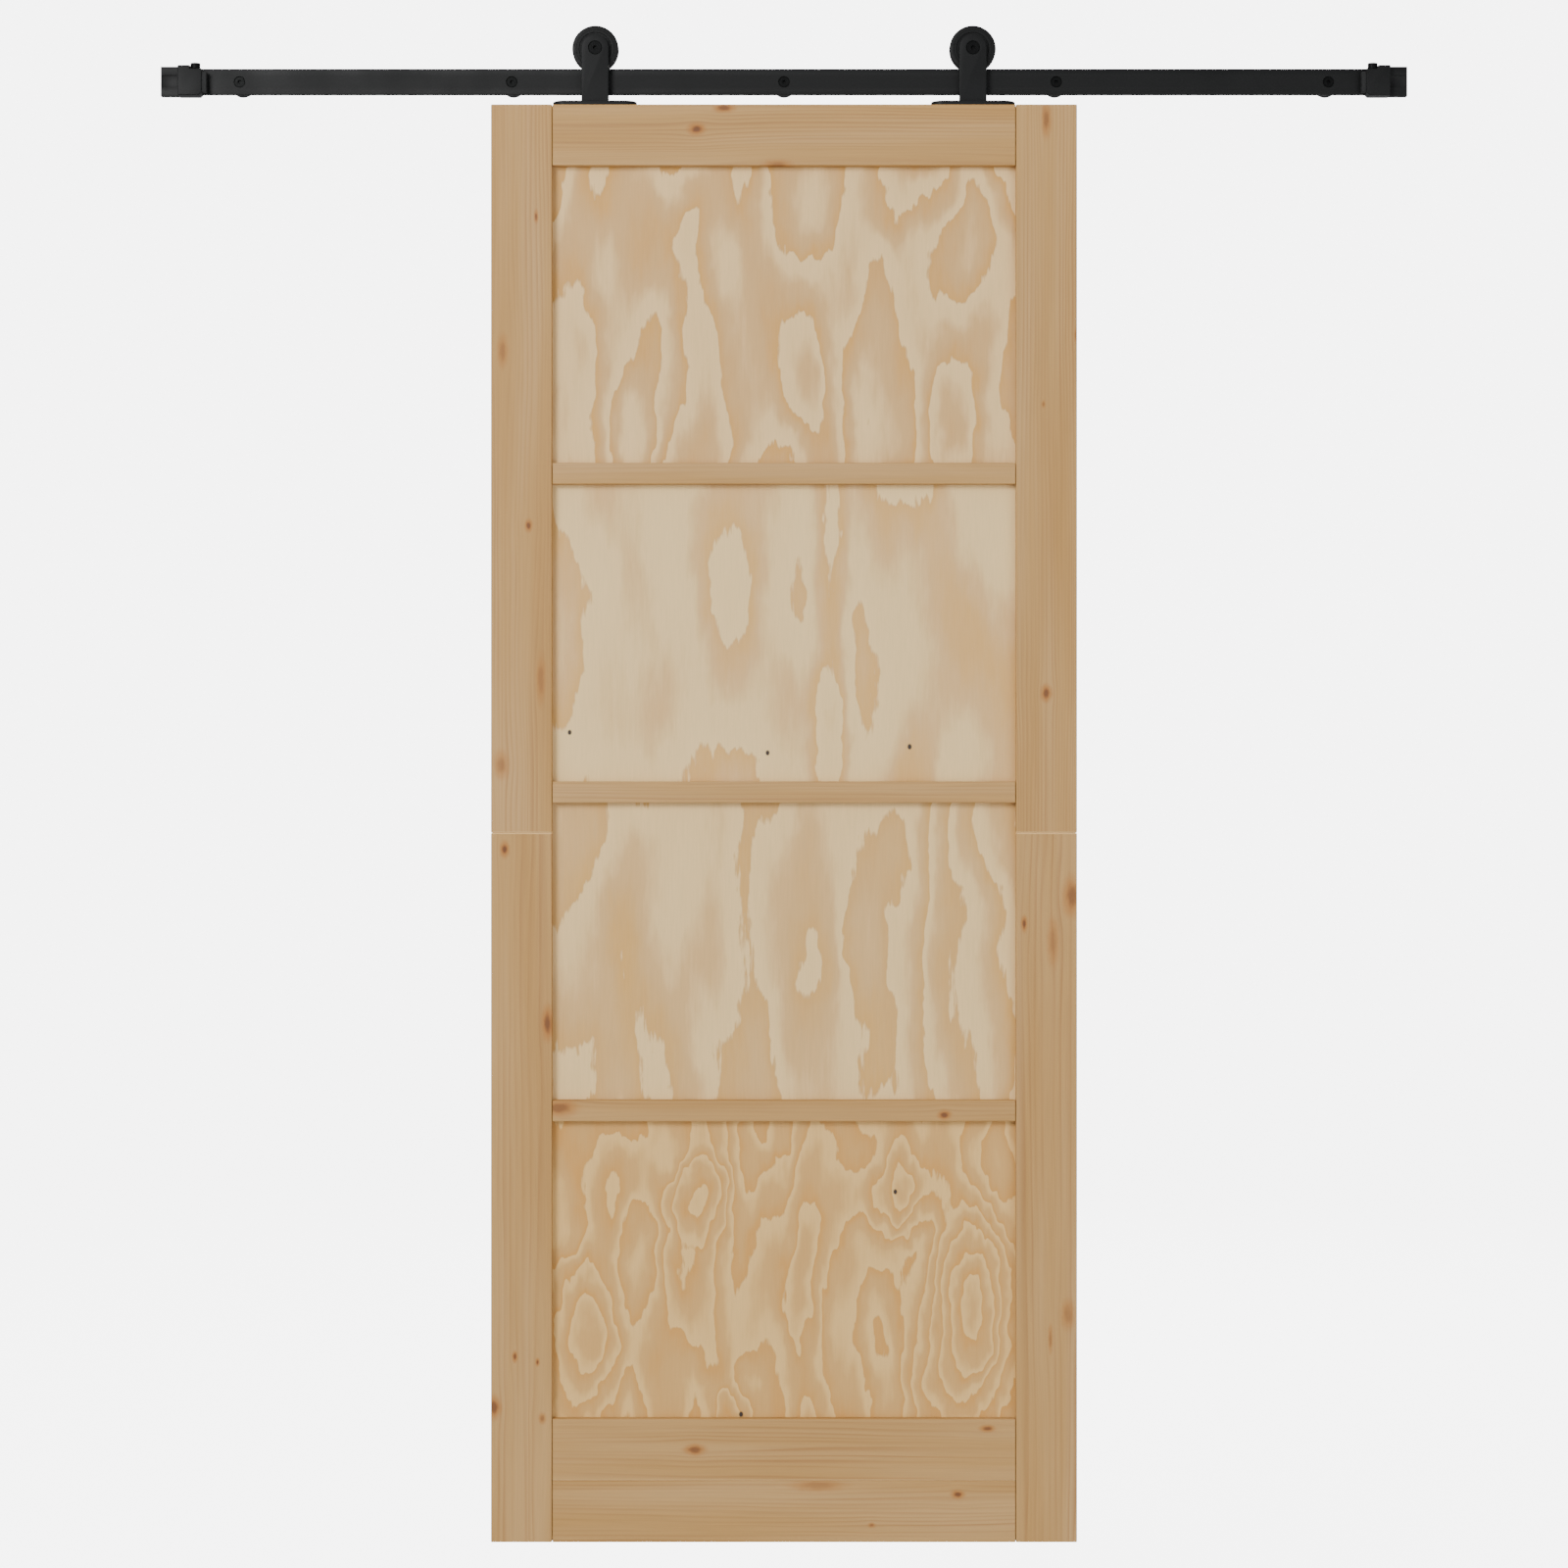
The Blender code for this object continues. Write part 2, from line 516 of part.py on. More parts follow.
def build_wheel(coats, side, wheel, cage):
    """The grooved wheel with its bearing's outer ring, on the wheel's pivot, and the ball cage."""
    half = WHEEL_WIDTH / 2
    seat = BEARING_RADIUS + TOUCH
    lip = BALL_CIRCLE + BALL_RADIUS
    stop = -BEARING_WIDTH / 2 - TOUCH
    root = RAIL_THICKNESS / 2 + RAIL_SIDE_GAP
    edge = root + GROOVE_FLARE
    rim = WHEEL_RADIUS - WHEEL_ARRIS
    shoulder = half - WHEEL_ARRIS
    profile = [
        (lip, -half),
        (rim, -half),
        (WHEEL_RADIUS, -shoulder),
        (WHEEL_RADIUS, -edge),
        (GROOVE_ROOT, -root),
        (GROOVE_ROOT, root),
        (WHEEL_RADIUS, edge),
        (WHEEL_RADIUS, shoulder),
        (rim, half),
        (DISH_OUTER, half),
        (DISH_OUTER, half - DISH_DEPTH),
        (seat, half - DISH_DEPTH),
        (seat, stop),
        (lip, stop),
    ]
    place(
        f"wheel_{side}",
        turned(profile, WHEEL_SEGMENTS, ring=True),
        coats["black_nylon"],
        (0, 0, 0),
        TOWARDS_WALL,
        wheel,
    )
    width = BEARING_WIDTH / 2
    land = 2 * BALL_CIRCLE - SHOULDER_RADIUS
    outer = [(BEARING_RADIUS, -width), (land, -width)] + raceway(land, 1)
    outer += [(land, width), (BEARING_RADIUS, width)]
    place(
        f"bearing_outer_{side}",
        turned(outer, ring=True),
        coats["bearing_steel"],
        (0, 0, 0),
        TOWARDS_WALL,
        wheel,
    )
    ring = tube(BALL_CIRCLE + CAGE_HALF_DEPTH, BALL_CIRCLE - CAGE_HALF_DEPTH, 2 * CAGE_HALF_DEPTH)
    balls = place(
        f"ball_cage_{side}",
        ring,
        coats["bearing_steel"],
        (0, -CAGE_HALF_DEPTH, 0),
        TOWARDS_WALL,
        cage,
    )
    for number in range(BALL_COUNT):
        angle = 2 * math.pi * number / BALL_COUNT
        ball = bmesh.new()
        bmesh.ops.create_uvsphere(ball, u_segments=8, v_segments=5, radius=BALL_RADIUS)
        weld_on(balls, ball, (BALL_CIRCLE * math.cos(angle), 0, BALL_CIRCLE * math.sin(angle)))


def build_inner_ring(coats, side, sign, leaf):
    width = BEARING_WIDTH / 2
    bore = AXLE_RADIUS + TOUCH
    profile = [(bore, -width), (SHOULDER_RADIUS, -width)] + raceway(SHOULDER_RADIUS, -1)
    profile += [(SHOULDER_RADIUS, width), (bore, width)]
    place(
        f"bearing_inner_{side}",
        turned(profile, ring=True),
        coats["bearing_steel"],
        (sign * HANGER_PITCH / 2, RAIL_MIDDLE, AXLE_HEIGHT),
        TOWARDS_WALL,
        leaf,
    )


def board(name, coat, x_range, z_range, leaf, grooves=(), tongued=False):
    """A leaf board: chamfered, grooved along the named edges, and tongued at both ends if asked."""
    width, height = x_range[1] - x_range[0], z_range[1] - z_range[0]
    x, z = sum(x_range) / 2, sum(z_range) / 2
    made = place(
        name, block(width, LEAF_THICKNESS, height, BOARD_ARRIS), coat, (x, LEAF_MIDDLE, z), parent=leaf
    )
    if tongued:
        low = z_range[0] + GROOVE_DEPTH * ("bottom" in grooves)
        high = z_range[1] - GROOVE_DEPTH * ("top" in grooves)
        length = width + 2 * (SHOULDER_GAP + TONGUE_REACH)
        tongue = block(length, PANEL_THICKNESS, high - low)
        weld_on(made, tongue, (x, LEAF_MIDDLE, (low + high) / 2))
    for edge in grooves:
        cutter_depth = 2 * GROOVE_DEPTH
        if edge in ("top", "bottom"):
            groove = block(width + 2 * OVERSHOOT, GROOVE_WIDTH, cutter_depth)
            cut(made, groove, (x, LEAF_MIDDLE, z_range[edge == "top"]))
        else:
            groove = block(cutter_depth, GROOVE_WIDTH, height + 2 * OVERSHOOT)
            cut(made, groove, (x_range[edge == "right"], LEAF_MIDDLE, z))
    return made


def build_stiles(coats, leaf):
    """Each stile is two boards that meet end to end on a loose tongue."""
    seam = LEAF_TOP - UPPER_STILE_LENGTH
    for side, sign in SIDES:
        edges = sorted((sign * LEAF_WIDTH / 2, sign * (LEAF_WIDTH / 2 - STILE_WIDTH)))
        inner = ("right", "left")[sign > 0]
        solid_middle = sign * (LEAF_WIDTH / 2 - (STILE_WIDTH - GROOVE_DEPTH) / 2)
        lengths = (("upper", (seam + TOUCH / 2, LEAF_TOP)), ("lower", (LEAF_BOTTOM, seam - TOUCH / 2)))
        for part, span in lengths:
            stile = board(f"stile_{side}_{part}", coats["pine"], edges, span, leaf, (inner,))
            mortice = block(
                LOOSE_TONGUE_WIDTH + 2 * TOUCH,
                LOOSE_TONGUE_THICKNESS + 2 * TOUCH,
                LOOSE_TONGUE_LENGTH + 2 * MORTICE_SPARE,
            )
            cut(stile, mortice, (solid_middle, LEAF_MIDDLE, seam))
        tongue = block(LOOSE_TONGUE_WIDTH, LOOSE_TONGUE_THICKNESS, LOOSE_TONGUE_LENGTH, BOARD_ARRIS)
        place(
            f"stile_tongue_{side}", tongue, coats["birch"], (solid_middle, LEAF_MIDDLE, seam), parent=leaf
        )


def build_bars(coats, leaf):
    """The top rail, the bars between the panels, and the two boards of the bottom rail."""
    half = INNER_WIDTH / 2 - SHOULDER_GAP
    span = (-half, half)
    pine = coats["pine"]
    top_rail = board(
        "top_rail", pine, span, (LEAF_TOP - TOP_RAIL_HEIGHT, LEAF_TOP), leaf, ("bottom",), True
    )
    for _, sign in SIDES:
        for offset in PLATE_SCREW_OFFSETS:
            pilot = rod(PLATE_SCREW_SHANK + SCREW_GAP, -OVERSHOOT, PLATE_SCREW_LENGTH, SMALL_SEGMENTS)
            cut(top_rail, pilot, (sign * HANGER_PITCH / 2 + offset, LEAF_MIDDLE, LEAF_TOP), DOWN)
    for number in range(1, BAR_COUNT + 1):
        above = TOP_RAIL_HEIGHT + number * PANEL_SIGHT_HEIGHT + (number - 1) * CROSS_BAR_HEIGHT
        top = LEAF_TOP - above
        heights = (top - CROSS_BAR_HEIGHT, top)
        board(f"cross_bar_{number}", pine, span, heights, leaf, ("top", "bottom"), True)
    seam = LEAF_BOTTOM + BOTTOM_BOARD_HEIGHT
    upper = (seam + TOUCH / 2, seam + BOTTOM_BOARD_HEIGHT)
    board("bottom_rail_upper", pine, span, upper, leaf, ("top", "bottom"), True)
    lower = board("bottom_rail_lower", pine, span, (LEAF_BOTTOM, seam - TOUCH / 2), leaf, (), True)
    key = block(2 * (half - KEY_INSET), PANEL_THICKNESS, 2 * TONGUE_REACH)
    weld_on(lower, key, (0, LEAF_MIDDLE, seam))


def build_panels(coats, leaf):
    """Plywood panels that float in the grooves all round."""
    width = INNER_WIDTH + 2 * TONGUE_REACH
    height = PANEL_SIGHT_HEIGHT + 2 * TONGUE_REACH
    for number in range(1, PANEL_COUNT + 1):
        above = TOP_RAIL_HEIGHT + (number - 0.5) * PANEL_SIGHT_HEIGHT + (number - 1) * CROSS_BAR_HEIGHT
        panel = block(width, PANEL_THICKNESS, height)
        middle = (0, LEAF_MIDDLE, LEAF_TOP - above)
        place(f"panel_{number}", panel, coats["plywood"], middle, parent=leaf)


def shade_round_pieces():
    """Round pieces show smooth sides and keep their sharp edges."""
    for thing in bpy.data.objects:
        if thing.type == "MESH":
            thing.data.shade_smooth()
            thing.data.set_sharp_from_angle(angle=math.radians(30))


def main():
    clear_scene()
    coats = {
        "black_steel": finish("black_powder_coat", (0.028, 0.029, 0.029), 0.5),
        "black_screw": finish("black_screw_steel", (0.02, 0.02, 0.021), 0.42, 0.6),
        "black_nylon": finish("black_nylon", (0.022, 0.022, 0.023), 0.45),
        "rubber": finish("black_rubber", (0.012, 0.012, 0.012), 0.8),
        "zinc": finish("zinc_plated_steel", (0.62, 0.63, 0.65), 0.35, 1.0),
        "bearing_steel": finish("bearing_steel", (0.58, 0.58, 0.59), 0.2, 1.0),
        "pine": finish("pine", (0.48, 0.32, 0.19), 0.6),
        "plywood": finish("pine_plywood", (0.57, 0.43, 0.28), 0.6),
        "birch": finish("birch_ply", (0.6, 0.48, 0.33), 0.65),
    }
    leaf = pivot("leaf", (0, 0, 0))
    build_rail(coats)
    build_fixings(coats)
    for side, sign in SIDES:
        build_stop(coats, side, sign)
        axle = (sign * HANGER_PITCH / 2, RAIL_MIDDLE, AXLE_HEIGHT)
        build_hanger(coats, side, sign, leaf)
        build_inner_ring(coats, side, sign, leaf)
        wheel = pivot(f"{side}_wheel_axis", axle, leaf)
        cage = pivot(f"{side}_cage_axis", axle, leaf)
        build_wheel(coats, side, wheel, cage)
    build_stiles(coats, leaf)
    build_bars(coats, leaf)
    build_panels(coats, leaf)
    shade_round_pieces()


main()
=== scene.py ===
"""A sliding barn door of pine and pine plywood, on black hangers and a black wall rail.

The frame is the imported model's: metres, the wall at y = 0, the viewer at -Y, +X along the rail, +Z up.
Figures, grain and knots are placed in millimetres in that frame.
"""

import math
from collections import namedtuple

import bmesh
import bpy
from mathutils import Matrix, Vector


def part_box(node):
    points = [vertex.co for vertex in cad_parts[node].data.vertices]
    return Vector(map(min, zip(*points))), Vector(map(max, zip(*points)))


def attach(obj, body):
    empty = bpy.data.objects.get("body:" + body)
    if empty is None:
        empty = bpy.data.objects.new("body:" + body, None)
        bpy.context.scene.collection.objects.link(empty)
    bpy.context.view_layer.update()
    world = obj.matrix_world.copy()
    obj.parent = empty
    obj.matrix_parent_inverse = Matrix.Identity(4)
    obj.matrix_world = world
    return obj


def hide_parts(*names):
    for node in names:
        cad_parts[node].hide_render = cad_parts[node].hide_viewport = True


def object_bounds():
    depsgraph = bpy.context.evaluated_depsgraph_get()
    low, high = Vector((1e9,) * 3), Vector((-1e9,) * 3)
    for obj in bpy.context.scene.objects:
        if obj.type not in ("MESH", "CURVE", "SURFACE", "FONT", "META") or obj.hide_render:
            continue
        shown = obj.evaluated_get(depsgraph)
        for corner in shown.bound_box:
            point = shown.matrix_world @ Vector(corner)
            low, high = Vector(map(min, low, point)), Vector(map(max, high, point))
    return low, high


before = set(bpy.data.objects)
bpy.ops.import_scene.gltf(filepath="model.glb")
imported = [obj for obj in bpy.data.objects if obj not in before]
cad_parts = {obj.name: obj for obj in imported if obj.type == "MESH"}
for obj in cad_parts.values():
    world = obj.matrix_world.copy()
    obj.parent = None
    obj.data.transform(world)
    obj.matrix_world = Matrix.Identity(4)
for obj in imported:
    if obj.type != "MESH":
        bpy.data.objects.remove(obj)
cad_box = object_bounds()

MM = 0.001
SIDES = (("left", -1), ("right", 1))
TOWARDS_WALL = (-math.pi / 2, 0, 0)  # turns a piece's own +Z to world +Y
DOWN = (math.pi, 0, 0)
TOWARDS_VIEWER = (math.pi / 2, 0, 0)
PAST = 2 * MM  # a cutter runs this far past the face that it cuts


# ---------------------------------------------------------------- colours and nodes


def linear(code):
    """An sRGB hex colour as linear red, green, blue and alpha."""
    shares = [int(code[i : i + 2], 16) / 255 for i in (1, 3, 5)]
    return (*[s / 12.92 if s <= 0.04045 else ((s + 0.055) / 1.055) ** 2.4 for s in shares], 1.0)


def join(tree, node, links):
    """Feeds the node's sockets; a node stands for its first output."""
    for key, source in (links or {}).items():
        tree.links.new(source.outputs[0] if hasattr(source, "outputs") else source, node.inputs[key])


def add(tree, kind, settings=None, links=None):
    """A node with its options, its sockets' values and its incoming links."""
    made = tree.nodes.new("ShaderNode" + kind)
    for key, value in (settings or {}).items():
        if key == "stops":
            ramp = made.color_ramp.elements
            while len(ramp) < len(value):
                ramp.new(1.0)
            for element, (place, colour) in zip(ramp, value):
                element.position = place
                element.color = colour
        elif isinstance(key, str) and hasattr(made, key):
            setattr(made, key, value)
        else:
            made.inputs[key].default_value = value
    join(tree, made, links)
    return made


def new_material(name):
    """A material, its node tree, and its shader, empty but for the output."""
    made = bpy.data.materials.new(name)
    made.use_nodes = True
    return made, made.node_tree, made.node_tree.nodes["Principled BSDF"]


def in_mm(tree):
    """The place on the piece, in millimetres."""
    where = add(tree, "TexCoord")
    return add(tree, "VectorMath", {"operation": "SCALE", "Scale": 1000.0}, {0: where.outputs["Object"]})


def between(low, high):
    """The settings of a mix from one colour to another."""
    return {"data_type": "RGBA", 6: linear(low), 7: linear(high)}


# ---------------------------------------------------------------- metal, nylon and rubber


def powder_coat():
    """Powder coating, baked on: a fine orange peel, and a sheen that changes a little from place to place."""
    made, tree, shader = new_material("powder_coated_steel")
    peel_width, cloud_width = 1.1, 60  # mm
    place = in_mm(tree)
    peel = add(
        tree,
        "TexNoise",
        {"Scale": 1 / peel_width, "Detail": 3.0, "Roughness": 0.6},
        {"Vector": place},
    )
    cloud = add(tree, "TexNoise", {"Scale": 1 / cloud_width, "Detail": 2.0}, {"Vector": place})
    tone = add(tree, "Mix", between("#0e0f0f", "#141515"), {0: cloud})
    gloss = add(
        tree,
        "MapRange",
        {"From Min": 0.3, "From Max": 0.7, "To Min": 0.47, "To Max": 0.58},
        {"Value": cloud},
    )
    skin = add(tree, "Bump", {"Strength": 0.25, "Distance": 0.12 * MM}, {"Height": peel})
    join(tree, shader, {"Base Color": tone.outputs[2], "Roughness": gloss, "Normal": skin})
    shader.inputs["Specular IOR Level"].default_value = 0.17
    return made


def lathed(name, low, high, rough, metallic, pitch, shine):
    """A turned surface round the piece's own Z: rings left by the tool, pitch mm apart, over a mottled skin."""
    made, tree, shader = new_material(name)
    shader.inputs["Metallic"].default_value = metallic
    shader.inputs["Specular IOR Level"].default_value = shine
    mottle_width = 4  # mm
    place = in_mm(tree)
    parts = add(tree, "SeparateXYZ", None, {0: place})
    flat = add(tree, "CombineXYZ", None, {0: parts.outputs[0], 1: parts.outputs[1]})
    radius = add(tree, "VectorMath", {"operation": "LENGTH"}, {0: flat})
    turns = add(
        tree,
        "Math",
        {"operation": "MULTIPLY", 1: 2 * math.pi / pitch},
        {0: radius.outputs["Value"]},
    )
    rings = add(tree, "Math", {"operation": "SINE"}, {0: turns})
    mottle = add(tree, "TexNoise", {"Scale": 1 / mottle_width, "Detail": 4.0}, {"Vector": place})
    tone = add(tree, "Mix", between(low, high), {0: mottle})
    gloss = add(
        tree,
        "MapRange",
        {"From Min": 0.3, "From Max": 0.7, "To Min": rough * 0.85, "To Max": rough * 1.2},
        {"Value": mottle},
    )
    skin = add(tree, "Bump", {"Strength": 0.2, "Distance": 0.05 * MM}, {"Height": rings})
    join(tree, shader, {"Base Color": tone.outputs[2], "Roughness": gloss, "Normal": skin})
    return made


def rubber():
    """Moulded rubber: dull, with the fine stipple of the mould."""
    made, tree, shader = new_material("moulded_rubber")
    stipple_width, bloom_width = 0.7, 9  # mm
    place = in_mm(tree)
    stipple = add(tree, "TexVoronoi", {"Scale": 1 / stipple_width}, {"Vector": place})
    bloom = add(tree, "TexNoise", {"Scale": 1 / bloom_width, "Detail": 3.0}, {"Vector": place})
    tone = add(tree, "Mix", between("#0b0c0c", "#131414"), {0: bloom})
    skin = add(tree, "Bump", {"Strength": 0.3, "Distance": 0.1 * MM}, {"Height": stipple})
    join(tree, shader, {"Base Color": tone.outputs[2], "Normal": skin})
    shader.inputs["Roughness"].default_value = 0.82
    return made


def birch_ply():
    """Sawn birch plywood: thin plies across its thickness, alternately side grain and end grain."""
    made, tree, shader = new_material("birch_plywood")
    ply, fuzz_width = 1.4, 1.5  # mm
    place = in_mm(tree)
    parts = add(tree, "SeparateXYZ", None, {0: place})
    plies = add(tree, "Math", {"operation": "MULTIPLY", 1: math.pi / ply}, {0: parts.outputs[1]})
    wave = add(tree, "Math", {"operation": "SINE"}, {0: plies})
    band = add(tree, "Math", {"operation": "GREATER_THAN", 1: 0.0}, {0: wave})
    fuzz = add(tree, "TexNoise", {"Scale": 1 / fuzz_width, "Detail": 3.0}, {"Vector": place})
    mix = add(tree, "Math", {"operation": "MULTIPLY_ADD", 1: 0.4}, {0: fuzz, 2: band})
    tone = add(tree, "Mix", between("#d2ac70", "#9a7340"), {0: mix})
    join(tree, shader, {"Base Color": tone.outputs[2]})
    shader.inputs["Roughness"].default_value = 0.7
    return made


# ---------------------------------------------------------------- wood

# How dark a year's wood is from its start to its end: the last of the old year's edge, early wood, late wood.
SAWN_YEAR = ((0.0, 0.25), (0.12, 0.0), (0.45, 0.1), (0.82, 0.8), (0.93, 1.0), (1.0, 0.3))
# The boards' wood between its lines, the lines of late wood, the knots, and the painted highlight along the
# seams, for the light that the chamfers there catch.
PINE_GROUND = ((0.3, "#ba935c"), (0.5, "#b38a4e"), (0.7, "#ac8142"))
LATE_LINE, KNOT_RING, KNOT_EYE, PAINTED_SEAM_HIGHLIGHT = "#946530", "#a36420", "#5e3410", "#e0b97c"
# The panels' cream, tan and gold, and their small dead knots.
VENEER_SHADES = ("#e3c085", "#c2965a", "#cd9740")
VENEER_KNOT = "#2a1d12"


def greys(rows):
    """Stops of a colour ramp, from their places and their shades of grey."""
    return [(place, (shade, shade, shade, 1)) for place, shade in rows]


def grain_frame(tree, along):
    """The place in mm as (across the grain on the face, through the board, along the grain)."""
    parts = add(tree, "SeparateXYZ", None, {0: in_mm(tree)})
    across = parts.outputs[0] if along == "Z" else parts.outputs[2]
    length = parts.outputs[2] if along == "Z" else parts.outputs[0]
    return across, parts.outputs[1], length


def drawn_out(tree, place, width, reach, seed, detail=2.0, rough=0.5):
    """Noise drawn out along the grain: its features are width mm across it and reach mm along it."""
    joined = add(tree, "CombineXYZ", None, dict(enumerate(place)))
    where = add(
        tree,
        "Mapping",
        {"Location": (seed, 0.37 * seed, -0.61 * seed), "Scale": (1 / width, 1 / width, 1 / reach)},
        {"Vector": joined},
    )
    return add(tree, "TexNoise", {"Scale": 1.0, "Detail": detail, "Roughness": rough}, {"Vector": where})


def stain(tree, colour, layers):
    """Lays each (share, hex colour) over the colour in turn."""
    for share, code in layers:
        mix = add(tree, "Mix", {"data_type": "RGBA", 7: linear(code)}, {0: share, 6: colour})
        colour = mix.outputs[2]
    return colour


def streaked(tree, colour, fibre, low, high):
    """The colour, made darker and lighter from fibre to fibre."""
    streak = add(
        tree,
        "MapRange",
        {"From Min": 0.3, "From Max": 0.7, "To Min": low, "To Max": high},
        {"Value": fibre},
    )
    mix = {"data_type": "RGBA", "blend_type": "MULTIPLY", 0: 1.0}
    return add(tree, "Mix", mix, {6: colour, 7: streak}).outputs[2]


def round_knots(tree, place, bent, knots, seed):
    """Bends the years round each knot; gives them back with the masks of the dark eyes and amber rings."""
    across, _, length = place
    masks = [None, None]
    for at, up, radius, stretch, darkness in knots:
        side = add(tree, "Math", {"operation": "SUBTRACT", 1: at}, {0: across})
        reach = add(tree, "Math", {"operation": "SUBTRACT", 1: up}, {0: length})
        short = add(tree, "Math", {"operation": "DIVIDE", 1: stretch}, {0: reach})
        offset = add(tree, "CombineXYZ", None, {0: side, 1: short})
        away = add(tree, "VectorMath", {"operation": "LENGTH"}, {0: offset}).outputs["Value"]
        ragged = drawn_out(tree, place, 0.9 * radius + 1, 2.0 * radius + 2, seed + at, 3.0)
        edge = add(tree, "Math", {"operation": "MULTIPLY_ADD", 1: 0.9 * radius}, {0: ragged, 2: away})
        # the years part by at most about the knot's own radius, and close again a few radii on
        square = add(tree, "Math", {"operation": "POWER", 1: 2.0}, {0: away})
        spread = add(tree, "Math", {"operation": "ADD", 1: 6 * radius * radius}, {0: square})
        push = add(tree, "Math", {"operation": "DIVIDE"}, {0: side, 1: spread})
        parting = {"operation": "MULTIPLY_ADD", 1: -3.2 * radius * radius}
        bent = add(tree, "Math", parting, {0: push, 2: bent})
        eye = (1.75, 0.85, darkness)  # where it ends and where it is full, in radii, and how strong it is
        ring = (3.0, 1.2, min(1.0, 0.35 + 0.6 * darkness))
        for i, (end, full, strength) in enumerate((eye, ring)):
            fade = {"interpolation_type": "SMOOTHSTEP", "From Min": end * radius, "From Max": full * radius}
            mask = add(tree, "MapRange", {**fade, "To Max": strength}, {"Value": edge})
            if masks[i] is not None:
                mask = add(tree, "Math", {"operation": "MAXIMUM"}, {0: masks[i], 1: mask})
            masks[i] = mask
    return bent, *masks


def pine(name, along, seed, pith, year, knots=(), seam=None):
    """Planed and sanded pine, unfinished.

    Sawn years show as lines: a wide pale early band that deepens slowly to a narrow tan late band.
    Round a knot the years bend, and the knot itself is a dark eye in an amber ring.
    pith is the tree's middle, (across, through) in mm from the face's own zero, and year is one year's
    growth in mm. A knot is (across, along, radius, stretch, darkness). seam is the height in mm at which the
    board meets the next one: a paler band there is a painted highlight, for the light caught by the chamfers.
    """
    made, tree, shader = new_material(name)
    place = across, through, length = grain_frame(tree, along)
    sway, unevenness = 26.0, 4.0  # of the years: in mm, and in years
    drift = drawn_out(tree, place, 70, 900, seed, 3.0)
    bent = add(tree, "Math", {"operation": "MULTIPLY_ADD", 1: sway}, {0: drift, 2: across})
    bent, eye, halo = round_knots(tree, place, bent, knots, seed)
    side = add(tree, "Math", {"operation": "SUBTRACT", 1: pith[0]}, {0: bent})
    depth = add(tree, "Math", {"operation": "SUBTRACT", 1: pith[1]}, {0: through})
    section = add(tree, "CombineXYZ", None, {0: side, 1: depth})
    radius = add(tree, "VectorMath", {"operation": "LENGTH"}, {0: section}).outputs["Value"]
    uneven = drawn_out(tree, (bent, through, length), 24, 1500, seed + 5)
    years = add(tree, "Math", {"operation": "DIVIDE", 1: year}, {0: radius})
    count = add(tree, "Math", {"operation": "MULTIPLY_ADD", 1: unevenness}, {0: uneven, 2: years})
    phase = add(tree, "Math", {"operation": "FRACT"}, {0: count})
    late = add(tree, "ValToRGB", {"stops": greys(SAWN_YEAR)}, {"Fac": phase})
    strength = drawn_out(tree, place, 22, 500, seed + 11)
    weight = add(
        tree,
        "MapRange",
        {"From Min": 0.35, "From Max": 0.7, "To Min": 0.05, "To Max": 0.7},
        {"Value": strength},
    )
    lines = add(tree, "Math", {"operation": "MULTIPLY"}, {0: late, 1: weight})
    fibre = drawn_out(tree, (bent, through, length), 1.6, 90, seed + 17, 4.0, 0.65)
    tint = drawn_out(tree, place, 45, 700, seed + 23)
    stops = [(share, linear(code)) for share, code in PINE_GROUND]
    ground = add(tree, "ValToRGB", {"stops": stops}, {"Fac": tint})
    colour = streaked(tree, stain(tree, ground, [(lines, LATE_LINE)]), fibre, 0.93, 1.06)
    if knots:
        colour = stain(tree, colour, [(halo, KNOT_RING), (eye, KNOT_EYE)])
    # painted highlight: a paler band on both sides of the seam stands in for light caught by the boards'
    # chamfers
    if seam is not None:
        height = length if along == "Z" else across
        off = add(tree, "Math", {"operation": "SUBTRACT", 1: seam}, {0: height})
        gap = add(tree, "Math", {"operation": "ABSOLUTE"}, {0: off})
        seam_highlight_band = add(
            tree,
            "MapRange",
            {"interpolation_type": "SMOOTHSTEP", "From Min": 1.7, "From Max": 0.9},
            {"Value": gap},
        )
        colour = stain(tree, colour, [(seam_highlight_band, PAINTED_SEAM_HIGHLIGHT)])
    relief = add(tree, "Math", {"operation": "MULTIPLY_ADD", 1: 0.6}, {0: fibre, 2: lines})
    skin = add(tree, "Bump", {"Strength": 0.25, "Distance": 0.1 * MM}, {"Height": relief})
    gloss = add(
        tree,
        "MapRange",
        {"From Max": 1.0, "To Min": 0.66, "To Max": 0.54},
        {"Value": lines},
    )
    join(tree, shader, {"Base Color": colour, "Roughness": gloss, "Normal": skin})
    return made


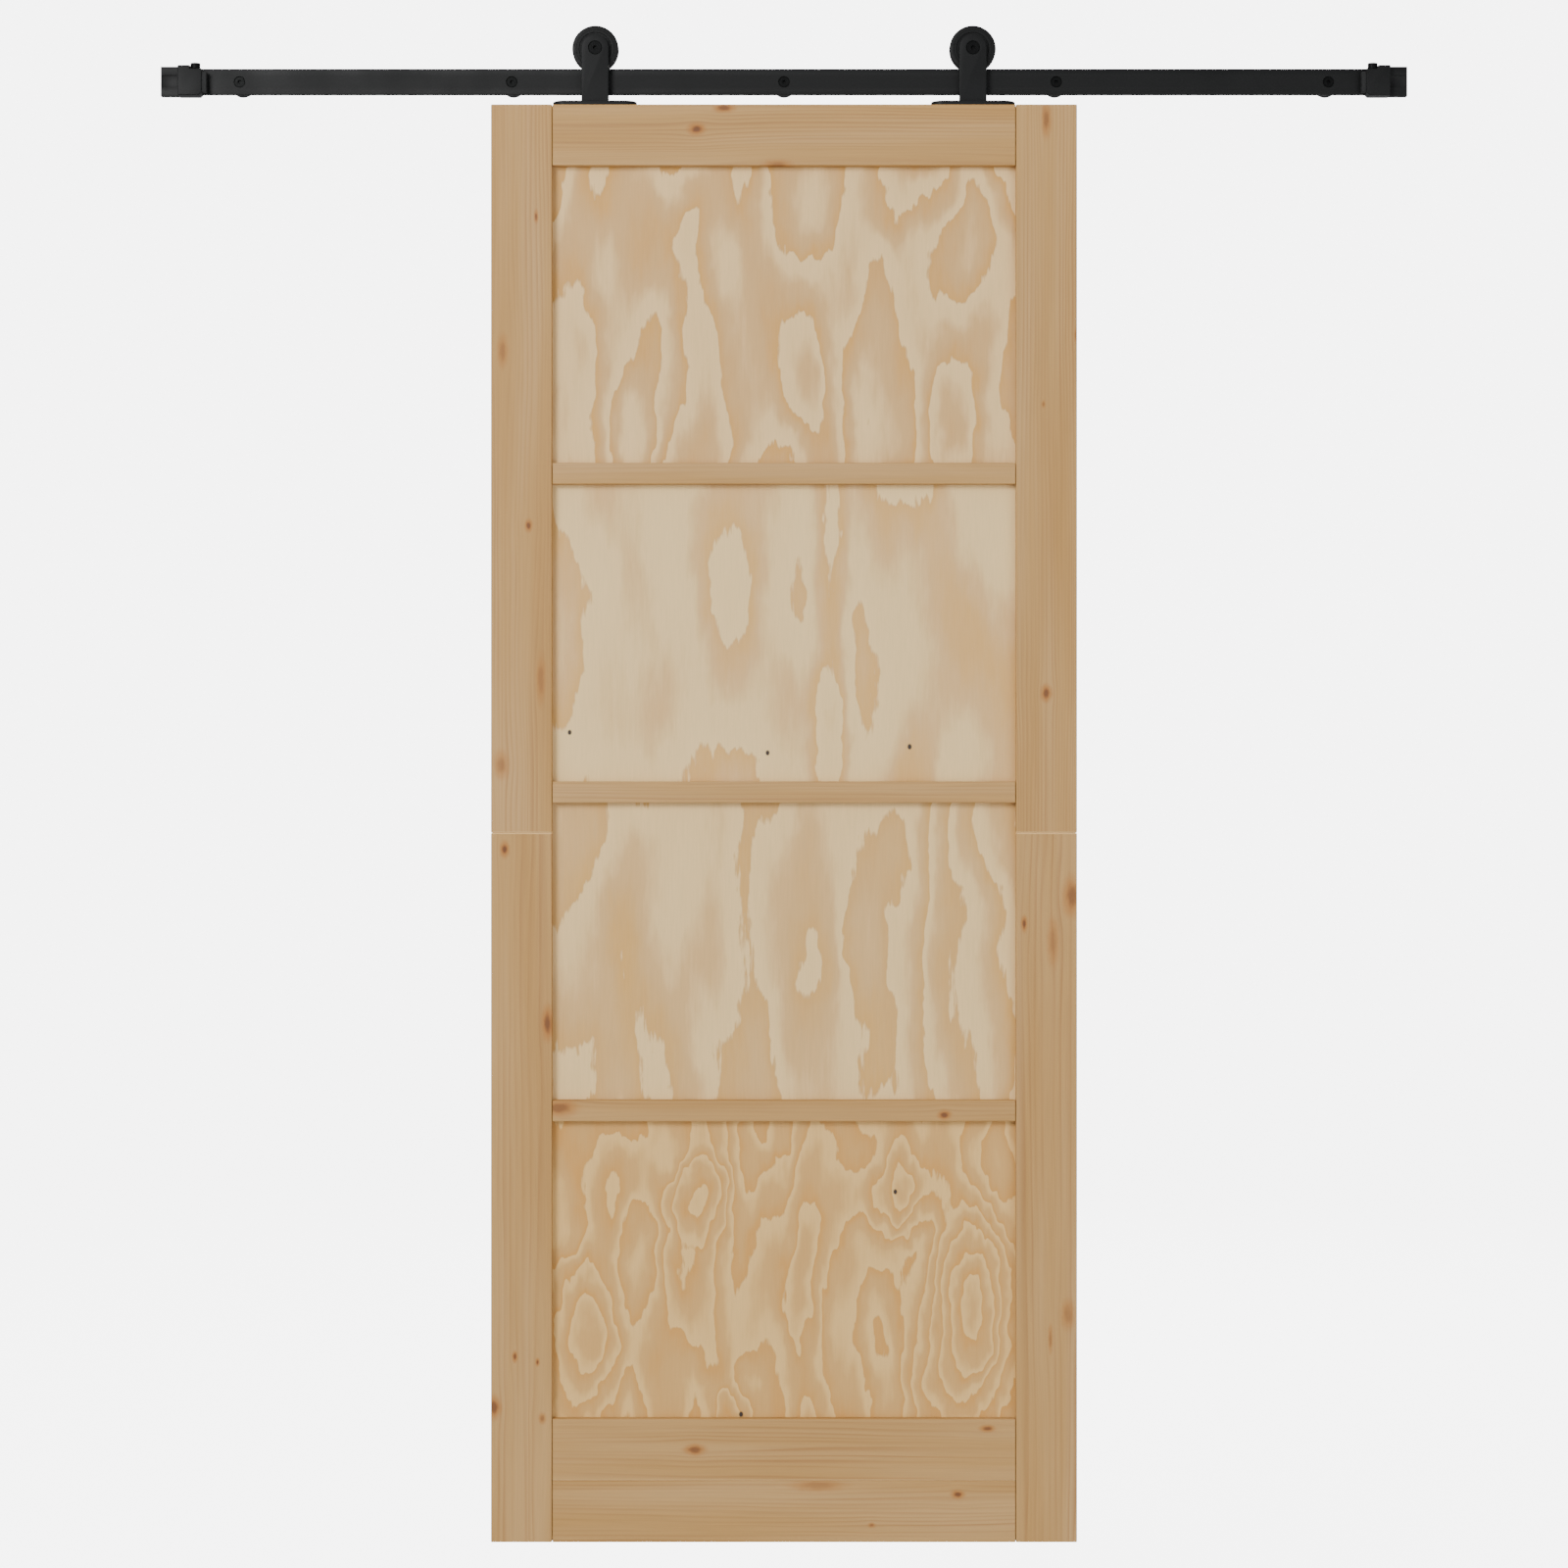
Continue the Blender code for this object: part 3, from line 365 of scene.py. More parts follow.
def veneer(name, seed, years, wide, tall, flames=(), knots=(), early=0.3, shades=VENEER_SHADES):
    """Rotary-cut pine veneer, sanded: the knife runs along the years, so they open into wide flames.

    The sheet's level in the tree rises and falls; each whole step of it is a year, cream early wood that
    turns slowly to tan, then to gold, and ends at a sharp, fibrous edge. years is how much the level
    varies, over features wide by tall mm. A flame is one more rise, (x, z, half width, half height, years)
    in mm, and a knot is (x, z, radius). early is the share of a year that stays cream. shades are cream,
    tan and gold.
    """
    made, tree, shader = new_material(name)
    place = across, through, length = grain_frame(tree, "Z")
    sway, fray = 30, 0.2  # how far the outlines wander, in mm, and how ragged they are, in years
    bent = []
    for origin, swing, turn in ((across, sway, 1), (length, 2.5 * sway, 2)):
        wander = drawn_out(tree, place, 28, 60, seed + turn)
        centred = add(tree, "Math", {"operation": "SUBTRACT", 1: 0.5}, {0: wander})
        bent.append(add(tree, "Math", {"operation": "MULTIPLY_ADD", 1: swing}, {0: centred, 2: origin}))
    spot = add(tree, "CombineXYZ", None, {0: bent[0], 1: bent[1]})
    swell = drawn_out(tree, (bent[0], through, bent[1]), wide, tall, seed, 1.0, 0.35)
    level = add(tree, "Math", {"operation": "MULTIPLY", 1: years}, {0: swell})
    for x, z, half_wide, half_tall, rise in flames:
        foot = (2.1 * half_wide, 2.1 * half_tall, 1)  # where the flame has run out
        hollow = {"vector_type": "TEXTURE", "Location": (x, z, 0), "Scale": foot}
        near = add(tree, "Mapping", hollow, {"Vector": spot})
        away = add(tree, "VectorMath", {"operation": "LENGTH"}, {0: near})
        hill = add(
            tree,
            "MapRange",
            {"interpolation_type": "SMOOTHSTEP", "From Max": 1.0, "To Min": rise, "To Max": 0.0},
            {"Value": away.outputs["Value"]},
        )
        level = add(tree, "Math", {"operation": "ADD"}, {0: level, 1: hill})
    for width, reach, share, turn in ((5, 46, fray, 3), (16, 90, 1.3 * fray, 4)):
        rough = drawn_out(tree, place, width, reach, seed + turn, 3.0, 0.6)
        level = add(tree, "Math", {"operation": "MULTIPLY_ADD", 1: share}, {0: rough, 2: level})
    phase = add(tree, "Math", {"operation": "FRACT"}, {0: level})
    peeled_year = ((0.0, 1.0), (0.035, 0.0), (early, 0.12), (early + 0.25, 0.75), (1.0, 1.0))
    late = add(tree, "ValToRGB", {"stops": greys(peeled_year)}, {"Fac": phase})
    cloud = drawn_out(tree, place, 60, 160, seed + 7, 3.0)
    gold = add(
        tree,
        "MapRange",
        {"interpolation_type": "SMOOTHSTEP", "From Min": 0.6, "From Max": 1.0},
        {"Value": phase},
    )
    mottled = add(tree, "Math", {"operation": "MULTIPLY"}, {0: gold, 1: cloud})
    cream, tan, golden = shades
    deep = add(tree, "Mix", between(tan, golden), {0: mottled})
    figured = add(tree, "Mix", {"data_type": "RGBA", 6: linear(cream)}, {0: late, 7: deep.outputs[2]})
    fibre = drawn_out(tree, place, 1.8, 40, seed + 13, 4.0, 0.7)
    colour = streaked(tree, figured.outputs[2], fibre, 0.955, 1.04)
    flat = add(tree, "CombineXYZ", None, {0: across, 1: length})
    for x, z, radius in knots:
        halo = {"vector_type": "TEXTURE", "Location": (x, z, 0), "Scale": (2.2 * radius, 3.0 * radius, 1)}
        near = add(tree, "Mapping", halo, {"Vector": flat})
        dot = add(tree, "TexGradient", {"gradient_type": "SPHERICAL"}, {"Vector": near})
        eye = add(
            tree,
            "MapRange",
            {"interpolation_type": "SMOOTHSTEP", "From Min": 0.15, "From Max": 0.6},
            {"Value": dot.outputs["Fac"]},
        )
        colour = stain(tree, colour, [(eye, VENEER_KNOT)])
    relief = add(tree, "Math", {"operation": "MULTIPLY_ADD", 1: 0.5}, {0: fibre, 2: late})
    skin = add(tree, "Bump", {"Strength": 0.2, "Distance": 0.1 * MM}, {"Height": relief})
    join(tree, shader, {"Base Color": colour, "Normal": skin})
    shader.inputs["Roughness"].default_value = 0.62
    return made


# ---------------------------------------------------------------- shapes


def new_object(name, data, location, rotation):
    made = bpy.data.objects.new(name, data)
    bpy.context.scene.collection.objects.link(made)
    made.location = location
    made.rotation_euler = rotation
    return made


def mesh_piece(name, shape, location=(0, 0, 0), rotation=(0, 0, 0)):
    """An object that shows the bmesh."""
    mesh = bpy.data.meshes.new(name)
    bmesh.ops.recalc_face_normals(shape, faces=shape.faces)
    shape.to_mesh(mesh)
    shape.free()
    return new_object(name, mesh, location, rotation)


def settle(piece):
    """Makes the piece's modifiers part of its mesh."""
    bpy.context.view_layer.update()
    seen = piece.evaluated_get(bpy.context.evaluated_depsgraph_get())
    mesh = bpy.data.meshes.new_from_object(seen)
    piece.modifiers.clear()
    old, piece.data = piece.data, mesh
    bpy.data.meshes.remove(old)


def combine(piece, others, operation="DIFFERENCE"):
    """Takes the other pieces away from this one, or adds them to it, and clears them away."""
    for other in others:
        change = piece.modifiers.new(other.name, "BOOLEAN")
        change.operation = operation
        change.solver = "EXACT"
        change.object = other
    settle(piece)
    for other in others:
        mesh = other.data
        bpy.data.objects.remove(other)
        bpy.data.meshes.remove(mesh)
    shape = bmesh.new()
    shape.from_mesh(piece.data)
    crumb = 0.002 * MM  # the longest edge left over by a cut
    bmesh.ops.remove_doubles(shape, verts=shape.verts, dist=crumb)
    bmesh.ops.dissolve_degenerate(shape, edges=shape.edges, dist=crumb)
    shape.to_mesh(piece.data)
    shape.free()


def ease(piece, width, steps=2, angle=28):
    """Rounds the piece's sharp edges and shades it smooth."""
    change = piece.modifiers.new("ease", "BEVEL")
    change.width = width
    change.segments = steps
    change.limit_method = "ANGLE"
    change.angle_limit = math.radians(angle)
    settle(piece)
    smooth(piece)


def smooth(piece, angle=32):
    """Shades the piece smooth, but for edges sharper than the angle."""
    piece.data.shade_smooth()
    piece.data.set_sharp_from_angle(angle=math.radians(angle))


def block(width, depth, height):
    shape = bmesh.new()
    bmesh.ops.create_cube(shape, size=1.0)
    bmesh.ops.scale(shape, vec=(width, depth, height), verts=shape.verts)
    return shape


def prism(outline, depth, arris=0.0, steps=1):
    """An outline of (x, y) points pushed up by depth, with the edge round its top eased."""
    shape = bmesh.new()
    base = shape.faces.new([shape.verts.new((x, y, 0)) for x, y in outline])
    made = bmesh.ops.extrude_face_region(shape, geom=[base])["geom"]
    raised = [item for item in made if isinstance(item, bmesh.types.BMVert)]
    bmesh.ops.translate(shape, vec=(0, 0, depth), verts=raised)
    if arris:
        rim = [item for item in made if isinstance(item, bmesh.types.BMEdge)]
        bmesh.ops.bevel(shape, geom=rim, offset=arris, segments=steps, affect="EDGES", profile=0.5)
    return shape


def arc(centre_x, centre_y, radius, start, end, steps):
    angles = [math.radians(start + (end - start) * i / steps) for i in range(steps + 1)]
    return [(centre_x + radius * math.cos(a), centre_y + radius * math.sin(a)) for a in angles]


def hexagon(across_flats):
    return arc(0, 0, across_flats / math.sqrt(3), 0, 300, 5)


def turned(rows, steps=64, ring=False, pitch=0.0):
    """Rows of (radius, height, thread depth) turned round Z; a ring's rows are a closed loop."""
    flank = 0.38  # of a thread, as a share of its pitch
    shape = bmesh.new()
    circles = []
    for radius, height, *depth in rows:
        circle = []
        for i in range(steps):
            angle = 2 * math.pi * i / steps
            reach = radius
            if depth and pitch:
                turn = (height / pitch - i / steps) % 1.0
                reach += depth[0] * max(0.0, 1 - abs(turn - 0.5) / flank)
            circle.append(shape.verts.new((reach * math.cos(angle), reach * math.sin(angle), height)))
        circles.append(circle)
    pairs = list(zip(circles, circles[1:]))
    if ring:
        pairs.append((circles[-1], circles[0]))
    for lower, upper in pairs:
        for i in range(steps):
            j = (i + 1) % steps
            shape.faces.new((lower[i], lower[j], upper[j], upper[i]))
    if not ring:
        shape.faces.new(circles[0][::-1])
        shape.faces.new(circles[-1])
    return shape


def thread_rows(core, start, end, pitch, depth, tip):
    """Rows for a thread from start to end that fades in, and narrows over the tip."""
    rows = []
    count = int((end - start) / (pitch / 6))
    for i in range(count + 1):
        height = start + (end - start) * i / count
        narrowing = min(1.0, (end - height) / tip + 0.12) if tip else 1.0
        fade = min(1.0, (height - start) / pitch)
        rows.append((core * narrowing, height, depth * fade * min(1.0, narrowing + 0.1)))
    return rows


def countersink_rows(wide, narrow, arris, end):
    """Rows for a countersunk hole: its eased rim, a short straight land, the cone, and the shank's hole."""
    deep = 1.1 * MM
    rim = [(wide + arris, -PAST), (wide + arris, 0), (wide, arris), (wide, deep)]
    return rim + [(narrow, deep + wide - narrow), (narrow, end)]


def front_middle(low, high):
    """The middle of the face that the box turns to the viewer."""
    return (low.x + high.x) / 2, low.y, (low.z + high.z) / 2


# ---------------------------------------------------------------- pieces

coats = {
    "black_steel": powder_coat(),
    "black_screw": lathed(
        "black_oxide_steel", "#080909", "#0e0f0f", rough=0.45, metallic=0.75, pitch=0.9, shine=0.3
    ),
    "black_nylon": lathed(
        "turned_black_nylon", "#0a0b0b", "#0f1010", rough=0.5, metallic=0.0, pitch=0.9, shine=0.18
    ),
    "rubber": rubber(),
    "zinc": lathed(
        "zinc_plated_steel", "#b4b8bb", "#cfd2d2", rough=0.34, metallic=1.0, pitch=0.7, shine=0.5
    ),
    "bearing_steel": lathed(
        "ground_bearing_steel", "#b9bbbd", "#d2d3d3", rough=0.2, metallic=1.0, pitch=0.5, shine=0.5
    ),
    "birch": birch_ply(),
}


def fit_out(piece, body, slot, *nodes):
    """Gives the piece its finish, its body and the CAD nodes that it stands for."""
    piece.data.materials.clear()
    piece.data.materials.append(coats[slot])
    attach(piece, body)
    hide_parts(*nodes)


def rebuild_rail():
    """Flat bar with eased edges, drilled and countersunk for the five lag screws."""
    low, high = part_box("rail")
    size, centre = high - low, (low + high) / 2
    rail = mesh_piece("wall_rail", block(*size), centre)
    ease(rail, 0.8 * MM, 3)
    cutters = []
    for number in range(1, 6):
        screw_low, screw_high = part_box(f"lag_screw_{number}")
        wide = (screw_high.x - screw_low.x) / 2 + 0.45 * MM
        rows = countersink_rows(wide, 4.45 * MM, 0.5 * MM, size.y + PAST)
        x = (screw_low.x + screw_high.x) / 2
        cutters.append(mesh_piece("countersink", turned(rows, 48), (x, low.y, centre.z), TOWARDS_WALL))
    combine(rail, cutters)
    smooth(rail)
    fit_out(rail, "track", "black_steel", "rail")


def rebuild_spacer(number):
    """A stepped spacer, turned from bar: a neck at the rail, a wide foot on the wall."""
    low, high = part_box(f"spacer_{number}")
    length = high.y - low.y
    foot = (high.x - low.x) / 2
    neck, bore, foot_start = 12.5 * MM, 4.45 * MM, length - 14 * MM
    slope = foot_start - (foot - neck)
    soft = 0.6 * MM
    rows = [
        (neck - soft, 0),
        (neck, soft),
        (neck, slope),
        (foot - soft, foot_start - soft),
        (foot, foot_start + soft),
        (foot, length - soft),
        (foot - soft, length),
        (bore + soft, length),
        (bore, length - soft),
        (bore, soft),
        (bore + soft, 0),
    ]
    shape = turned(rows, 64, ring=True)
    spacer = mesh_piece(f"wall_spacer_{number}", shape, front_middle(low, high), TOWARDS_WALL)
    smooth(spacer)
    fit_out(spacer, "track", "black_steel", f"spacer_{number}")


# A countersunk socket screw, in mm: the radii of its head and shank, the socket's width across flats and its
# depth, where the thread starts, its pitch and depth, and how long the point is.
Screw = namedtuple("Screw", "head shank socket socket_depth start pitch depth tip")
LAG_SCREW = Screw(head=7.5, shank=4, socket=5, socket_depth=3, start=42, pitch=3.6, depth=1.1, tip=8)
WOOD_SCREW = Screw(head=4.6, shank=2.4, socket=3, socket_depth=2, start=14, pitch=2.4, depth=0.75, tip=7)
AXLE_BOLT = Screw(head=9.5, shank=4.9, socket=6, socket_depth=3.5, start=21, pitch=1.5, depth=0.6, tip=0)


def countersunk(name, node, kind, rotation, steps):
    """The countersunk screw with its rolled thread, its head's face where the node's is."""
    head, shank, socket, socket_depth, start, pitch, depth, tip = (size * MM for size in kind)
    low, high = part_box(node)
    centre = (low + high) / 2
    land = 0.5 * MM
    cone_end = land + head - shank
    if rotation == TOWARDS_WALL:
        length, location, outward = high.y - low.y, Vector(front_middle(low, high)), Vector((0, -1, 0))
    else:
        length, location, outward = high.z - low.z, Vector((centre.x, centre.y, high.z)), Vector((0, 0, 1))
    core = shank - depth
    soft = 0.25 * MM
    rows = [(head - soft, 0), (head, soft), (head, land), (shank, cone_end)]
    rows += [(shank, start - depth), (core, start)]
    rows += thread_rows(core, start, length, pitch, depth, tip)[1:]
    screw = mesh_piece(name, turned(rows, steps, pitch=pitch), location, rotation)
    driver = prism(hexagon(socket), socket_depth + PAST)
    driver = mesh_piece("driver", driver, location + PAST * outward, rotation)
    combine(screw, [driver])
    smooth(screw, 38)
    return screw


def rebuild_lag_screw(number):
    """A lag screw that holds the rail on the wall, blackened with oxide."""
    node = f"lag_screw_{number}"
    screw = countersunk(f"wall_{node}", node, LAG_SCREW, TOWARDS_WALL, 32)
    fit_out(screw, "track", "black_screw", node)


def rebuild_stop(side, sign):
    """A cast saddle clamped on the rail's end: recessed tail, proud collar, head with its cap screw."""
    low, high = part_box(f"stop_body_{side}")
    rail_low, rail_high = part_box("rail")
    outer = high.x if sign > 0 else -low.x
    face = -high.x if sign < 0 else low.x
    tail_length, collar_length = 26.3 * MM, 17.6 * MM
    tail_end = outer - tail_length
    collar_end = tail_end - collar_length
    top = high.z
    screw_low, screw_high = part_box(f"stop_screw_{side}")
    screw_at = (screw_low + screw_high) / 2
    head_top = screw_high.z - 8.3 * MM
    arris, corner = 0.8 * MM, 4.5 * MM
    outline = [
        (face, corner - top),
        (face + corner, -top),
        (tail_end - arris, -top),
        (tail_end, arris - top),
        (tail_end, top - arris),
        (tail_end - arris, top),
        (collar_end, top),
        (collar_end, head_top),
        (face + arris, head_top),
        (face, head_top - arris),
    ]
    shape = prism([(sign * x, z) for x, z in outline], high.y - low.y, arris, 1)
    body = mesh_piece(f"end_stop_{side}", shape, (0, high.y, 0), TOWARDS_VIEWER)
    gap, front_wall, back_wall, edge_wall = 0.3 * MM, 3.4 * MM, 2.3 * MM, 2.2 * MM  # round the rail
    tail_front = rail_low.y - gap - front_wall
    tail_back = rail_high.y + gap + back_wall
    tail_size = tail_length + 6.2 * MM  # it runs this far into the collar
    tail_height = rail_high.z - rail_low.z + 2 * (gap + edge_wall)
    tail = mesh_piece(
        "tail",
        block(tail_size, tail_back - tail_front, tail_height),
        (sign * (outer - tail_size / 2), (tail_back + tail_front) / 2, 0),
    )
    combine(body, [tail], "UNION")
    slot = mesh_piece(
        "slot",
        block(70 * MM, rail_high.y - rail_low.y + 2 * gap, rail_high.z - rail_low.z + 2 * gap),
        (sign * (outer + face) / 2, (rail_low.y + rail_high.y) / 2, 0),
    )
    recess = block(22.5 * MM, 3.6 * MM, 18 * MM)
    recess = mesh_piece("recess", recess, (sign * (outer - tail_length / 2), tail_front, 0))
    hole = turned([(4.4 * MM, -PAST), (4.4 * MM, 22.2 * MM)], 32)
    hole = mesh_piece("hole", hole, (screw_at.x, screw_at.y, head_top), DOWN)
    bumper_low, bumper_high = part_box(f"stop_bumper_{side}")
    socket = mesh_piece(
        "socket",
        turned([(3.3 * MM, -4.3 * MM), (3.3 * MM, PAST)], 32),
        (sign * face, screw_at.y, (bumper_low.z + bumper_high.z) / 2),
        (0, -sign * math.pi / 2, 0),
    )
    combine(body, [slot, recess, hole, socket])
    ease(body, 0.45 * MM, 2, 24)
    fit_out(body, "track", "black_steel", f"stop_body_{side}")


def rebuild_cap_screw(side):
    """The stop's cap screw, which clamps it on the rail: a knurled head, blackened with oxide."""
    screw_low, screw_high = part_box(f"stop_screw_{side}")
    head, under = (screw_high.x - screw_low.x) / 2, 8 * MM
    end = screw_high.z - screw_low.z
    core, pitch, teeth = 3.4 * MM, 1.25 * MM, 72
    rows = [(head - 0.5 * MM, 0), (head - 0.15 * MM, 0.15 * MM), (head, 0.5 * MM)]
    rows += [(head, under - 0.2 * MM), (head - 0.2 * MM, under), (3.9 * MM, under)]
    rows += [(core, under + 1 * MM)]
    rows += thread_rows(core, under + 1 * MM, end - 1 * MM, pitch, 0.6 * MM, 0)[1:]
    rows += [(2.8 * MM, end)]
    shape = turned(rows, teeth, pitch=pitch)
    for vert in shape.verts:  # the knurl round the head
        if 0.4 * MM < vert.co.z < under - 0.1 * MM:
            radius = vert.co.xy.length
            if radius > head - 0.2 * MM:
                tooth = round(math.atan2(vert.co.y, vert.co.x) / (2 * math.pi) * teeth) % 2
                vert.co.xy *= (radius - 0.25 * MM * tooth) / radius
    x, y = (screw_low.x + screw_high.x) / 2, (screw_low.y + screw_high.y) / 2
    screw = mesh_piece(f"stop_cap_screw_{side}", shape, (x, y, screw_high.z), DOWN)
    driver = mesh_piece("driver", prism(hexagon(6 * MM), 6 * MM), (x, y, screw_high.z + PAST), DOWN)
    combine(screw, [driver])
    smooth(screw, 38)
    fit_out(screw, "track", "black_screw", f"stop_screw_{side}")


def rebuild_bumper(side, sign):
    """A moulded pad with a soft edge and two grip lines, pushed into the stop by its stem."""
    low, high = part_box(f"stop_bumper_{side}")
    centre = (low + high) / 2
    proud = 6.2 * MM
    face = high.x if sign < 0 else low.x
    root = face + sign * proud
    pad = mesh_piece(
        f"rubber_bumper_{side}",
        block(proud, high.y - low.y, high.z - low.z),
        ((face + root) / 2, centre.y, centre.z),
    )
    stem = turned([(3 * MM, -4 * MM), (3 * MM, PAST)], 32)
    stem = mesh_piece("stem", stem, (root, centre.y, centre.z), (0, -sign * math.pi / 2, 0))
    combine(pad, [stem], "UNION")
    lines = [
        mesh_piece("line", block(0.8 * MM, 20 * MM, 0.9 * MM), (face, centre.y, centre.z + offset))
        for offset in (-5 * MM, 5 * MM)
    ]
    combine(pad, lines)
    ease(pad, 0.9 * MM, 3, 50)
    fit_out(pad, "track", "rubber", f"stop_bumper_{side}")


def weld_bead(name, width, depth, size, x, y, z):
    """A fillet weld round a strap's foot, with the ripples of its runs."""
    bend, turns = 0.9 * MM, 6  # the radius of the path's corners, and the steps round each
    inner, sunk = 0.5 * MM, 0.4 * MM
    path = []
    for side, face, start in ((1, 1, 0), (-1, 1, 90), (-1, -1, 180), (1, -1, 270)):
        centre = (side * (width / 2 - bend), face * (depth / 2 - bend))
        path += [(*centre, start + 90 * i / turns) for i in range(turns + 1)]
    stations = []
    for (ax, ay, a), (bx, by, _) in zip(path, path[1:] + path[:1]):
        pieces = max(1, round(math.hypot(bx - ax, by - ay) / (1.1 * MM)))
        stations += [(ax + (bx - ax) * i / pieces, ay + (by - ay) * i / pieces, a) for i in range(pieces)]
    shape = bmesh.new()
    loops = []
    for i, (px, py, angle) in enumerate(stations):
        out = Vector((math.cos(math.radians(angle)), math.sin(math.radians(angle)), 0))
        swell = size * (1 + 0.09 * math.sin(1.9 * i))  # a run's ripples
        middle = Vector((px, py, 0))
        loop = [
            middle + out * inner + Vector((0, 0, -sunk)),
            middle + out * inner + Vector((0, 0, swell)),
            middle + out * bend + Vector((0, 0, swell)),
            middle + out * (bend + 0.72 * swell) + Vector((0, 0, 0.62 * swell)),
            middle + out * (bend + swell) + Vector((0, 0, -sunk)),
        ]
        loops.append([shape.verts.new(p) for p in loop])
    for a, b in zip(loops, loops[1:] + loops[:1]):
        for i in range(5):
            j = (i + 1) % 5
            shape.faces.new((a[i], a[j], b[j], b[i]))
    return mesh_piece(name, shape, (x, y, z))


def rebuild_hanger(side):
    """The hanger: a strap with a round top, fillet-welded on an oval base plate, drilled and coated."""
    low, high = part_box(f"hanger_plate_{side}")
    bolt_low, bolt_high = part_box(f"axle_bolt_{side}")
    x = (low.x + high.x) / 2
    axle_height = (bolt_low.z + bolt_high.z) / 2
    half = high.z - axle_height  # of the strap's width; also its round top's radius
    thick = 6 * MM  # the strap's plate and the base's
    strap_front = bolt_low.y - 0.6 * MM
    strap_back = strap_front + thick
    base_top = low.z + thick
    leaf_middle = (low.y + high.y) / 2
    outline = [(-half, base_top - 3 * MM), (half, base_top - 3 * MM)]
    outline += arc(0, axle_height, half, 0, 180, 48)
    strap = prism(outline, thick, 1.0 * MM, 3)
    strap = mesh_piece(f"hanger_{side}", strap, (x, strap_back, 0), TOWARDS_VIEWER)
    nose = (high.y - low.y) / 2
    end = (high.x - low.x) / 2 - nose
    stadium = arc(end, 0, nose, -90, 90, 24) + arc(-end, 0, nose, 90, 270, 24)
    base = mesh_piece("base", prism(stadium, thick, 0.9 * MM, 3), (x, leaf_middle, low.z))
    bead = weld_bead("bead", 2 * half, thick, 1.9 * MM, x, (strap_front + strap_back) / 2, base_top)
    combine(strap, [base], "UNION")
    combine(strap, [bead], "UNION")
    through = thick + PAST
    rows = countersink_rows((bolt_high.x - bolt_low.x) / 2 + 0.45 * MM, 5.35 * MM, 0.4 * MM, through)
    cutters = [mesh_piece("axle_hole", turned(rows, 64), (x, strap_front, axle_height), TOWARDS_WALL)]
    for number in range(1, 5):
        screw_low, screw_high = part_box(f"plate_screw_{side}_{number}")
        rows = countersink_rows(5.05 * MM, 2.85 * MM, 0.3 * MM, through)
        place = ((screw_low.x + screw_high.x) / 2, leaf_middle, base_top)
        cutters.append(mesh_piece("screw_hole", turned(rows, 32), place, DOWN))
    combine(strap, cutters)
    smooth(strap, 34)
    fit_out(strap, "door", "black_steel", f"hanger_plate_{side}")

    for number in range(1, 5):
        node = f"plate_screw_{side}_{number}"
        name = f"hanger_wood_screw_{side}_{number}"
        screw = countersunk(name, node, WOOD_SCREW, DOWN, 24)
        fit_out(screw, "door", "zinc", node)


def rebuild_axle(side):
    """The axle bolt and what it clamps: a sleeve, a ring washer, and a lock nut with a rolled collar."""
    node = f"axle_bolt_{side}"
    bolt = countersunk(f"axle_countersunk_bolt_{side}", node, AXLE_BOLT, TOWARDS_WALL, 48)
    fit_out(bolt, "door", "black_screw", node)
    for node, name in ((f"axle_spacer_{side}", "axle_sleeve"), (f"axle_washer_{side}", "axle_ring_washer")):
        low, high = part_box(node)
        length, outer, bore = high.y - low.y, (high.z - low.z) / 2, 5.2 * MM
        soft = 0.3 * MM
        rows = [(outer - soft, 0), (outer, soft), (outer, length - soft), (outer - soft, length)]
        rows += [(bore + soft, length), (bore, length - soft), (bore, soft), (bore + soft, 0)]
        shape = turned(rows, 64, ring=True)
        ring = mesh_piece(f"{name}_{side}", shape, front_middle(low, high), TOWARDS_WALL)
        smooth(ring)
        fit_out(ring, "door", "zinc", node)
    low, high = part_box(f"axle_nut_{side}")
    height, flats = high.y - low.y, 17 * MM
    place = front_middle(low, high)
    nut = mesh_piece(f"axle_lock_nut_{side}", prism(hexagon(flats), height), place, TOWARDS_WALL)
    reach = flats / math.sqrt(3)
    rows = [
        (reach - 1.1 * MM, -0.01 * MM),
        (reach + 0.2 * MM, 0.9 * MM),
        (reach + 0.2 * MM, height - 2.6 * MM),
        (reach - 1.6 * MM, height - 1.8 * MM),
        (reach - 2.4 * MM, height - 0.4 * MM),
        (reach - 3.0 * MM, height + 0.01 * MM),
    ]
    cone = mesh_piece("cone", turned(rows, 64), place, TOWARDS_WALL)
    combine(nut, [cone], "INTERSECT")
    bore = turned([(5.2 * MM, -PAST), (5.2 * MM, height + PAST)], 48)
    bore = mesh_piece("bore", bore, place, TOWARDS_WALL)
    combine(nut, [bore])
    ease(nut, 0.25 * MM, 2, 30)
    fit_out(nut, "door", "zinc", f"axle_nut_{side}")


